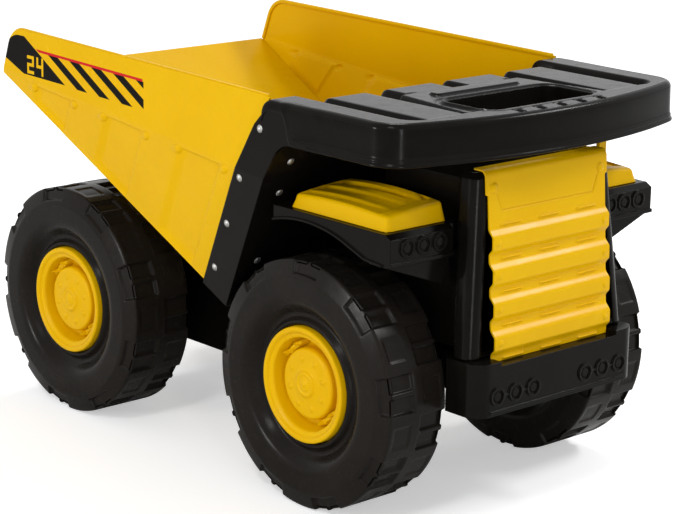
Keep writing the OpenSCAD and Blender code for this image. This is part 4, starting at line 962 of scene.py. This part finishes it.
# %% [markdown]
# ## Grille
# The grille is one thin pressing: four rolled ribs, each a quick rounded shoulder on top and a slow
# return below, short louvres between them, a sunk field at the top, and a head bent back over the
# housing. Its side view could be extruded across, but the louvres, dimples and the field's groove
# change along the width. So the sheet is a grid of points: the side view is sampled from the foot to
# the bent head, and the relief is added to it.

# %% Grille
RIB_PITCH = 22.0
RIBS = [131.5 + RIB_PITCH * i for i in range(4)]
GRILLE_HALF = 55.5
GRILLE_FOOT, GRILLE_HEAD = (226.35, 114.0), (217.75, 237.0)
BEND_R = 5.0
DIMPLE_Y = 50.5
LOUVRES = (-36.0, 0.0, 36.0)


def grille_x(z):
    """The plain sheet's face at a height, before any relief."""
    rise = GRILLE_HEAD[1] - GRILLE_FOOT[1]
    return GRILLE_FOOT[0] + (GRILLE_HEAD[0] - GRILLE_FOOT[0]) * (z - GRILLE_FOOT[1]) / rise


def grille_relief(y, z):
    """How far the face stands out at a place, in mm."""
    out = 0.0
    for rib in RIBS:
        bulge = (1.0 - step(rib - 1.4, rib + 4.8, z)) * step(rib - 13.6, rib - 8.4, z)
        out += (3.8 - 0.05 * (rib - z)) * bulge
        for side in (1, -1):
            out += dome(math.hypot(y - side * DIMPLE_Y, z - rib + 4.6), 2.1)
    for rib in [RIBS[0] - RIB_PITCH] + RIBS:
        for middle in LOUVRES:
            out += 1.3 * band(middle, 9.4, 1.2, y) * band(rib + 6.3, 0.75, 0.8, z)
    for side in (1, -1):
        out += 1.7 * dome(math.hypot(y - side * DIMPLE_Y, z - 228.0), 3.4)
    # the sunk field is outlined by a groove: two slanted ends and a foot
    slant = abs(y) - (43.0 + (z - 212.3) * 0.38)
    groove = band(0.0, 0.6, 1.2, slant) * step(211.9, 212.7, z) * (1.0 - step(222.0, 226.0, z))
    groove = max(groove, band(212.3, 0.6, 1.2, z) * (1.0 - step(42.6, 43.6, abs(y))))
    return out - 0.9 * groove


def grille_point(y, at):
    """A place on the sheet's face: at is its height up to the bend, and its path length beyond."""
    bend_z = GRILLE_HEAD[1] - 2.0
    # the head is 2 mm wider on each side than the ribbed part
    y *= 1.0 + (2.0 / GRILLE_HALF) * step(223.2, 224.2, at)
    if at <= bend_z:
        return Vector((grille_x(at) + grille_relief(y, at), y, at))
    angle = min(math.pi / 2, (at - bend_z) / BEND_R)
    back = max(0.0, at - bend_z - BEND_R * math.pi / 2)
    x = grille_x(bend_z) - BEND_R + BEND_R * math.cos(angle) - back
    return Vector((x, y, bend_z + BEND_R * math.sin(angle)))


# %% Grille sheet
# points crowd at the dimples, at the louvres' ends and at the groove's slanted ends
fine_half = [9.8, 26.2, 43.0, 45.8, 46.5, DIMPLE_Y]
fine_columns = [-y for y in fine_half] + fine_half
grille_rows = spread(GRILLE_FOOT[1], 224.6, 0.55) + spread(225.2, 249.0, 0.8)
grille_columns = spread(-GRILLE_HALF, GRILLE_HALF, 2.4, fine_columns, 2.6, 0.6)
grille = sheet("grille", grille_rows, grille_columns, grille_point)
thicken(grille, SHEET, -1.0)
settle(grille, "grille_skin", "root", enamel_yellow, "grille_panel", 40)
compare_boxes(grille)


# %% [markdown]
# ## Fender covers
# Each fender carries a yellow moulding with a crowned top, soft corners, a sunk field and three long
# fins that die out before the front. On the left one the cab takes the place of the inner half. A
# cube with bevelled edges comes near, but its crown is flat and the fins' ends would be joints. The
# cover is a grid again: its outer ring of points runs up the leaning wall and over the round
# shoulder, and the rest lie on the crowned top.

# %% Fender cover's form
COVER_X, COVER_Y, COVER_Z = (99.75, 193.75), (66.0, 121.0), 204.5
COVER_WALL = 2.0
FINS = (75.0, 89.0, 103.0)
WALL_LEAN, SHOULDER_R, CORNER_R = 2.4, 3.4, 6.0


def cover_corner(x, y, ends, sides):
    """A place near a corner and its inset from the rim. Outside the round it is pulled back onto it."""
    reach = math.hypot(CORNER_R - ends, CORNER_R - sides)
    if reach <= CORNER_R:
        return x, y, CORNER_R - reach
    shift = CORNER_R / reach
    corner_x = COVER_X[0] + CORNER_R if x < sum(COVER_X) / 2 else COVER_X[1] - CORNER_R
    corner_y = COVER_Y[0] + CORNER_R if y < sum(COVER_Y) / 2 else COVER_Y[1] - CORNER_R
    return corner_x + (x - corner_x) * shift, corner_y + (y - corner_y) * shift, 0.0


def cover_height(x, y, rim):
    """Height of the cover's top above its foot: the crown, the sunk field and the fins."""
    middle = sum(COVER_X) / 2
    height = 14.9 - (x - middle) ** 2 / 900.0 - 4.4 * ((y - COVER_Y[0]) / 55.0) ** 1.7
    height -= 2.0 * step(4.6, 6.2, rim) * (1.0 - step(180.0, 182.5, x))
    for fin in FINS:
        along = step(102.0, 106.0, x) * (1.0 - step(168.0, 181.5, x))
        half = 4.6 * (0.4 + 0.6 * (1.0 - step(164.0, 182.0, x)))
        top = 15.2 - (x - middle) ** 2 / 700.0 - 0.11 * (fin - FINS[0])
        height += max(0.0, top - height) * band(fin, half - 0.7, 1.6, y) * along
    return height


def cover_point(x, y):
    ends = min(x - COVER_X[0], COVER_X[1] - x)
    sides = min(y - COVER_Y[0], COVER_Y[1] - y)
    rim = min(ends, sides)
    if ends < CORNER_R and sides < CORNER_R:
        x, y, rim = cover_corner(x, y, ends, sides)
    height = cover_height(x, y, rim)
    if rim < WALL_LEAN:
        rise = (height - SHOULDER_R) * rim / WALL_LEAN
    elif rim < WALL_LEAN + SHOULDER_R:
        part = 1.0 - (rim - WALL_LEAN) / SHOULDER_R
        rise = height - SHOULDER_R * (1.0 - math.sqrt(1.0 - part * part))
    else:
        rise = height
    return Vector((x, y, COVER_Z + rise))


# %% Two fender covers
def from_rims(low, high, gap):
    """Values from low to high, crowded at both ends, where the wall turns into the top."""
    rims = [0.0, 1.2, 2.4, 2.6, 2.9, 3.4, 4.0, 4.8, 5.8]
    return [low + v for v in rims] + spread(low + 6.4, high - 6.4, gap) + [high - v for v in reversed(rims)]


cab_low, cab_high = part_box("cab_shell")


def under_cab(face):
    spot = face.calc_center_median()
    return cab_low[0] < spot.x < cab_high[0] and spot.y < cab_high[1]


right_cover = sheet("cover_right", from_rims(*COVER_Y, 0.7), from_rims(*COVER_X, 1.4), cover_point)
left_cover = twin(right_cover)
thicken(right_cover, COVER_WALL, -1.0)
mirror_across(right_cover)
drop_faces(left_cover, under_cab)
thicken(left_cover, COVER_WALL, -1.0)
for cover, side in ((right_cover, "right"), (left_cover, "left")):
    settle(cover, "fender_cover_skin_" + side, "root", yellow_plastic,
           "fender_cover_" + side, 45)


# %% [markdown]
# ## Canopy
# The canopy is blown in one piece with the bulkhead: a skirt with a flared double lip, a rounded upper
# edge, and a top pressed into soft humps and channels round a hand-hold with a beaded rim. One grid
# can't carry both the upright skirt and the flat top without long thin faces at the edge between
# them. So the skirt is a section swept along the plan's outline, and the top is a grid of points
# pressed down by the relief. The sloping bulkhead and its flanges are plain, so they come from the
# solid, cut off under the new top.

# %% Canopy plan
TOP_Z = 277.5
CANOPY_HALF, CANOPY_CORNER, BOW_R, CANOPY_FRONT = 137.2, 24.0, 390.0, 234.75
BOW_X = CANOPY_FRONT - BOW_R
BOW_TURN = math.asin((CANOPY_HALF - CANOPY_CORNER) / (BOW_R - CANOPY_CORNER))
CORNER_AT = (BOW_X + (BOW_R - CANOPY_CORNER) * math.cos(BOW_TURN), CANOPY_HALF - CANOPY_CORNER)
ARCH_X = 121.0              # the skirt arches up over the bulkhead behind this
WIDEST = 139.15
print("canopy front", CANOPY_FRONT, "mm")


def flank_y(x):
    """The skirt's side: over the flange at the rear, drawn in to the canopy's half width ahead of it."""
    flange = 137.92 + (min(x, ARCH_X) - 94.96) * TAPER
    return CANOPY_HALF + (flange - CANOPY_HALF) * (1.0 - step(123.0, 165.0, x))


# %% Outline and section of the skirt
outline = []
for i in range(28):
    a = BOW_TURN * i / 28
    outline.append((BOW_X + BOW_R * math.cos(a), BOW_R * math.sin(a), a))
for i in range(17):
    a = BOW_TURN + (math.pi / 2 - BOW_TURN) * i / 16
    outline.append((CORNER_AT[0] + CANOPY_CORNER * math.cos(a),
                    CORNER_AT[1] + CANOPY_CORNER * math.sin(a), a))
backwards = (spread(-187.0, -136.0, 5.0) + spread(-134.0, -110.0, 1.2) + spread(-108.0, -103.0, 2.5)
             + spread(-101.0, -91.2, 0.9))
outline += [(-x, flank_y(-x), math.pi / 2) for x in backwards]
outline = [(x, -y, -a) for x, y, a in reversed(outline[1:])] + outline

# places across the wall: (how far out from the outline, height)
skirt_section = [(-4.8, 277.5), (-4.0, 277.48)]
for a in [math.radians(9 * k) for k in range(1, 11)]:
    skirt_section.append((-4.0 + 4.0 * math.sin(a), 273.5 + 4.0 * math.cos(a)))
skirt_section += [
    (0.1, 268.0), (0.25, 262.0), (0.4, 256.6), (0.5, 255.2), (0.95, 254.5), (1.1, 253.7), (0.85, 253.0),
    (1.0, 252.4), (1.75, 251.8), (1.95, 251.1), (1.9, 250.4), (1.4, 250.0), (-0.6, 250.0), (-1.6, 251.4),
    (-2.2, 255.0), (-2.3, 270.0), (-3.2, 273.4), (-4.8, 275.2)]
print("outline", len(outline), "stations, section", len(skirt_section), "points")

# %% Canopy skirt
LIP_FROM = 0.4              # what stands out further than this is the lip, which dies out at the rear
REAR_ROUND, REAR_ROUND_X = 10.0, 101.0


def skirt_ring(x, y, a):
    """The section at one station of the outline, lower over the arch and rounded down at the rear."""
    scale = 0.27 + 0.73 * step(112.0, ARCH_X, x)
    drop_z = REAR_ROUND - math.sqrt(REAR_ROUND ** 2 - max(0.0, REAR_ROUND_X - x) ** 2)
    ring = []
    for out, z in skirt_section:
        if out > LIP_FROM:
            out = LIP_FROM + (out - LIP_FROM) * step(ARCH_X - 2.0, 136.0, x)
        side_y = max(-WIDEST, min(WIDEST, y + out * math.sin(a)))
        ring.append(Vector((x + out * math.cos(a), side_y, TOP_Z - drop_z - (TOP_Z - z) * scale)) * MM)
    return ring


skirt = swept("skirt", [skirt_ring(*station) for station in outline])
print("skirt", len(skirt.data.polygons), "faces")


# %% [markdown]
# ## Canopy top
# The top is one soft landscape: a field sunk by 7 mm, with two humps on each side, a deck round the
# hand-hold and a raised bar behind it, all of them islands in the field. They could be separate
# rounded boxes, but on a blown moulding they flow into one another. So the height is one function of
# the place, made of smooth steps, and the greatest of the islands wins.

# %% Canopy top's height
REAR_X, FIELD_X, FIELD_HALF = 110.4, 209.8, 116.0
FIELD_DEPTH = 6.0
HOLD_X, HOLD_HALF, HOLD_CORNER = (167.8, 214.8), 51.0, 10.0
GRIP_PITCH, GRIP_X = 19.0, 219.6


def round_rect(x, y, x0, x1, half, corner):
    """Distance inside (+) or outside (-) a rounded rectangle centred on Y = 0."""
    dx = abs(x - (x0 + x1) / 2) - (x1 - x0) / 2 + corner
    dy = abs(y) - half + corner
    return corner - (math.hypot(max(dx, 0.0), max(dy, 0.0)) + min(max(dx, dy), 0.0))


def top_z(x, y):
    """Height of the canopy's top at a place."""
    across = abs(y)
    field = step(-0.5, 4.0, round_rect(x, y, 0.0, FIELD_X, FIELD_HALF, 13.0))
    deck_half = 56.0 + 11.0 * (x - 132.0) / 78.0
    deck = step(-1.0, 3.6, x - 133.0) * (1.0 - step(-2.2, 2.2, across - deck_half))
    hump = 1.0 - step(15.6, 20.2, abs(across - 84.5))
    inner = 1.0 - step(20.2, 24.6, abs(across - 28.5))
    inner *= 1.0 - 0.6 * step(0.0, 8.0, x - 132.0) * step(0.0, 6.0, across - 40.0)
    island = max(deck, hump, inner)
    z = TOP_Z - field * (0.9 + FIELD_DEPTH * (1.0 - island))
    # beaded rim of the hand-hold, and the bare raised bar behind it
    inside = round_rect(x, y, *HOLD_X, HOLD_HALF, HOLD_CORNER)
    z += 1.3 * band(-2.6, 1.1, 1.8, inside) * (1.0 - 0.75 * step(207.0, 213.0, x))
    z -= 0.9 * band(-6.0, 1.6, 2.0, inside) * (1.0 - step(196.0, 206.0, x))
    z += 1.5 * step(0.0, 1.6, round_rect(x, y, 143.6, 154.6, 40.0, 4.0))
    # five grips on the border ahead of it: a groove in the shape of a C, with a rib inside
    for grip in range(-2, 3):
        u, v = y - GRIP_PITCH * grip, x - GRIP_X
        back = band(0.8, 0.55, 0.9, u) * band(6.0, 6.0, 1.0, v)
        arm = band(4.4, 4.2, 1.0, u)
        z -= 1.5 * max(back, arm * band(0.8, 0.5, 0.9, v), arm * band(10.8, 0.5, 0.9, v))
        z += 0.9 * band(3.0, 0.8, 1.0, u) * band(6.0, 3.8, 1.2, v)
    if across >= FIELD_HALF and x < REAR_ROUND_X:
        z -= REAR_ROUND - math.sqrt(REAR_ROUND ** 2 - (REAR_ROUND_X - x) ** 2)
    if across < FIELD_HALF and x < REAR_X + 6.0:
        part = 1.0 - (x - REAR_X) / 6.0
        z -= 5.0 * (1.0 - math.sqrt(max(0.0, 1.0 - part * part)))
    return z


# %% Canopy top's points
MIDDLE_X = 188.0            # rows ahead of this fan out to the bowed front
PIT_Z = 263.5               # the points inside the hand-hold are let down to here, and deleted after


def front_x(y, inset):
    """X of the plan's front outline, moved inwards."""
    across = abs(y)
    if across < (BOW_R - inset) * math.sin(BOW_TURN):
        return BOW_X + math.sqrt((BOW_R - inset) ** 2 - across * across)
    return CORNER_AT[0] + math.sqrt(max(0.0, (CANOPY_CORNER - inset) ** 2 - (across - CORNER_AT[1]) ** 2))


def top_point(y, row):
    """row runs from 0 at the rear to 1 at MIDDLE_X and 2 at the front. Below 0 the rear edge hangs down."""
    rear = REAR_X if abs(y) < FIELD_HALF else 91.4
    if row < 0.0:
        return Vector((rear, y, top_z(rear, y) + 10.0 * row))
    if row <= 1.0:
        x = rear + (MIDDLE_X - rear) * row
    else:
        x = MIDDLE_X + (front_x(y, 3.6) - MIDDLE_X) * (row - 1.0)
    z = top_z(x, y)
    inside = round_rect(x, y, *HOLD_X, HOLD_HALF, HOLD_CORNER)
    if abs(inside) < 0.5:
        # a point near the hand-hold's edge is moved onto it
        core_x = min(max(x, HOLD_X[0] + HOLD_CORNER), HOLD_X[1] - HOLD_CORNER)
        core_y = math.copysign(min(abs(y), HOLD_HALF - HOLD_CORNER), y)
        reach = math.hypot(x - core_x, y - core_y)
        if reach > 0.1:
            x = core_x + (x - core_x) * HOLD_CORNER / reach
            y = core_y + (y - core_y) * HOLD_CORNER / reach
    elif inside >= 0.5:
        z = PIT_Z
    return Vector((x, y, z))


# %% Canopy top and its hand-hold
top_rows = [-1.0, -0.6, -0.3, -0.1] + [v / 110.0 for v in range(110)] + [1.0 + v / 62.0 for v in range(63)]
half_columns = spread(0.0, 56.0, 0.7) + spread(57.0, 133.4, 1.15)
top_columns = [-y for y in reversed(half_columns[1:])] + half_columns
canopy_top = sheet("canopy_top", top_rows, top_columns, top_point)


def in_hold(face):
    return all(v.co.z < (PIT_Z + 0.1) * MM and HOLD_X[0] * MM < v.co.x < HOLD_X[1] * MM for v in face.verts)


drop_faces(canopy_top, in_hold)
face_outwards(canopy_top)
# on an open sheet outwards may come out as downwards
if canopy_top.data.polygons[len(canopy_top.data.polygons) // 2].normal.z < 0:
    canopy_top.data.flip_normals()
thicken(canopy_top, 1.6, -1.0)
print("top", len(canopy_top.data.polygons), "faces")


# %% [markdown]
# ## Bulkhead and flanges
# The bulkhead is the bed's front wall, moulded with the canopy, and its flanges run down the bed's
# front edges. It is flat, so nothing is gained by modelling it anew. A copy of the CAD mesh is merged,
# because it comes as loose triangles, and everything that the skirt and the top replace is cut off
# by three planes. The Weighted Normal modifier keeps its large faces flat where they meet small ones.

# %% Bulkhead and flanges
CUTS = (((0.0, 0.0, 0.2705), (0.0, 0.0, 1.0)),              # under the canopy's top
        ((ARCH_X * MM, 0.0, 0.0), (1.0, 0.0, 0.0)),         # ahead of the arch
        ((0.0922, 0.0, 0.2676), (-0.7, 0.0, 0.7)))          # the flanges' upper rear corner
bulkhead = twin(frame["nodes"]["canopy_bulkhead"])
bulkhead.hide_render = False
edit(bulkhead)
bpy.ops.mesh.remove_doubles(threshold=1e-6)
for place, normal in CUTS:
    bpy.ops.mesh.select_all(action="SELECT")
    bpy.ops.mesh.bisect(plane_co=place, plane_no=normal, clear_outer=True)
bpy.ops.object.mode_set(mode="OBJECT")
settle(bulkhead, "bulkhead_skin", "dump_bed", black_plastic, "canopy_bulkhead", 30)
bulkhead.modifiers.new("flat faces", "WEIGHTED_NORMAL").keep_sharp = True

# %% Canopy assembly
join(skirt, canopy_top)
settle(skirt, "canopy_skin", "dump_bed", black_plastic, "canopy_bulkhead", 40)
compare_boxes(skirt)


# %% [markdown]
# ## Studio
# The truck stands on a pale floor in a white studio. If the world were lit at full strength, it would
# wash out the yellow. So only the camera, mirrors and glass see the world as white, and as a light it
# is soft. Area lamps do the rest: the first is aimed so that the grille's ribs mirror it, the
# others give the tyres and the canopy their highlights.

# %% World
LIGHT_OF_WORLD, LOOK_OF_WORLD = 0.52, 1.0
world = bpy.data.worlds.new("studio")
scene.world = world
world.use_nodes = True
tree = world.node_tree
tree.nodes.clear()
paths = tree.nodes.new("ShaderNodeLightPath")
seen = tree.nodes.new("ShaderNodeMath")
seen.operation = "MAXIMUM"
tree.links.new(paths.outputs["Is Camera Ray"], seen.inputs[0])
tree.links.new(paths.outputs["Is Transmission Ray"], seen.inputs[1])
mirrored = tree.nodes.new("ShaderNodeMath")
mirrored.operation = "MAXIMUM"
tree.links.new(seen.outputs[0], mirrored.inputs[0])
tree.links.new(paths.outputs["Is Glossy Ray"], mirrored.inputs[1])
both = tree.nodes.new("ShaderNodeMixShader")
tree.links.new(mirrored.outputs[0], both.inputs[0])
for socket, strength in ((1, LIGHT_OF_WORLD), (2, LOOK_OF_WORLD)):
    shade = tree.nodes.new("ShaderNodeBackground")
    shade.inputs["Color"].default_value = (1.0, 1.0, 1.0, 1.0)
    shade.inputs["Strength"].default_value = strength
    tree.links.new(shade.outputs[0], both.inputs[socket])
world_out = tree.nodes.new("ShaderNodeOutputWorld")
tree.links.new(both.outputs[0], world_out.inputs["Surface"])
print("world", world.name, LIGHT_OF_WORLD, LOOK_OF_WORLD)

# %% [markdown]
# ## Floor
# The floor is plain pale paper. It glows a little for the camera alone, so that it runs into the white
# background, and still takes the truck's shadow.

# %% Floor
bpy.ops.object.select_all(action="DESELECT")
bpy.ops.mesh.primitive_plane_add(size=12.0, location=(0.0, 0.0, -0.0002))
floor = bpy.context.object
floor.name = "floor"
floor_finish = bpy.data.materials.new("floor_white")
floor_finish.use_nodes = True
tree = floor_finish.node_tree
tree.nodes.clear()
paths = tree.nodes.new("ShaderNodeLightPath")
paper = tree.nodes.new("ShaderNodeBsdfDiffuse")
paper.inputs["Color"].default_value = (0.86, 0.86, 0.86, 1.0)
glow = tree.nodes.new("ShaderNodeEmission")
glow.inputs["Strength"].default_value = 0.45
lift = tree.nodes.new("ShaderNodeAddShader")
tree.links.new(paper.outputs[0], lift.inputs[0])
tree.links.new(glow.outputs[0], lift.inputs[1])
seen_floor = tree.nodes.new("ShaderNodeMixShader")
tree.links.new(paths.outputs["Is Camera Ray"], seen_floor.inputs[0])
tree.links.new(paper.outputs[0], seen_floor.inputs[1])
tree.links.new(lift.outputs[0], seen_floor.inputs[2])
floor_out = tree.nodes.new("ShaderNodeOutputMaterial")
tree.links.new(seen_floor.outputs[0], floor_out.inputs["Surface"])
floor.data.materials.append(floor_finish)
print("floor", [round(v, 1) for v in floor.dimensions])


# %% Lamps
def lamp(name, place, target, size, watts):
    """A rectangular lamp that looks from its place at the target, all in metres."""
    data = bpy.data.lights.new(name, "AREA")
    data.shape = "RECTANGLE"
    data.size, data.size_y = size
    data.energy = watts
    obj = bpy.data.objects.new(name, data)
    scene.collection.objects.link(obj)
    away = Vector(place) - Vector(target)
    obj.matrix_world = Matrix.Translation(place) @ away.to_track_quat("Z", "Y").to_matrix().to_4x4()
    print("lamp", name, watts, "W")


lamp("ribs", (0.93, 1.3, 1.51), (0.2, 0.0, 0.2), (0.8, 0.32), 19.0)
lamp("key", (0.9, -1.6, 1.9), (0.0, 0.0, 0.15), (0.4, 0.3), 12.0)
lamp("top", (-1.0, 1.0, 2.3), (0.1, 0.0, 0.25), (0.5, 0.5), 15.0)
lamp("front", (1.6, -0.9, 0.35), (0.15, 0.0, 0.2), (0.05, 0.9), 5.5)
lamp("side", (-0.5, -1.75, 0.4), (0.0, -0.1, 0.08), (0.2, 0.3), 9.0)
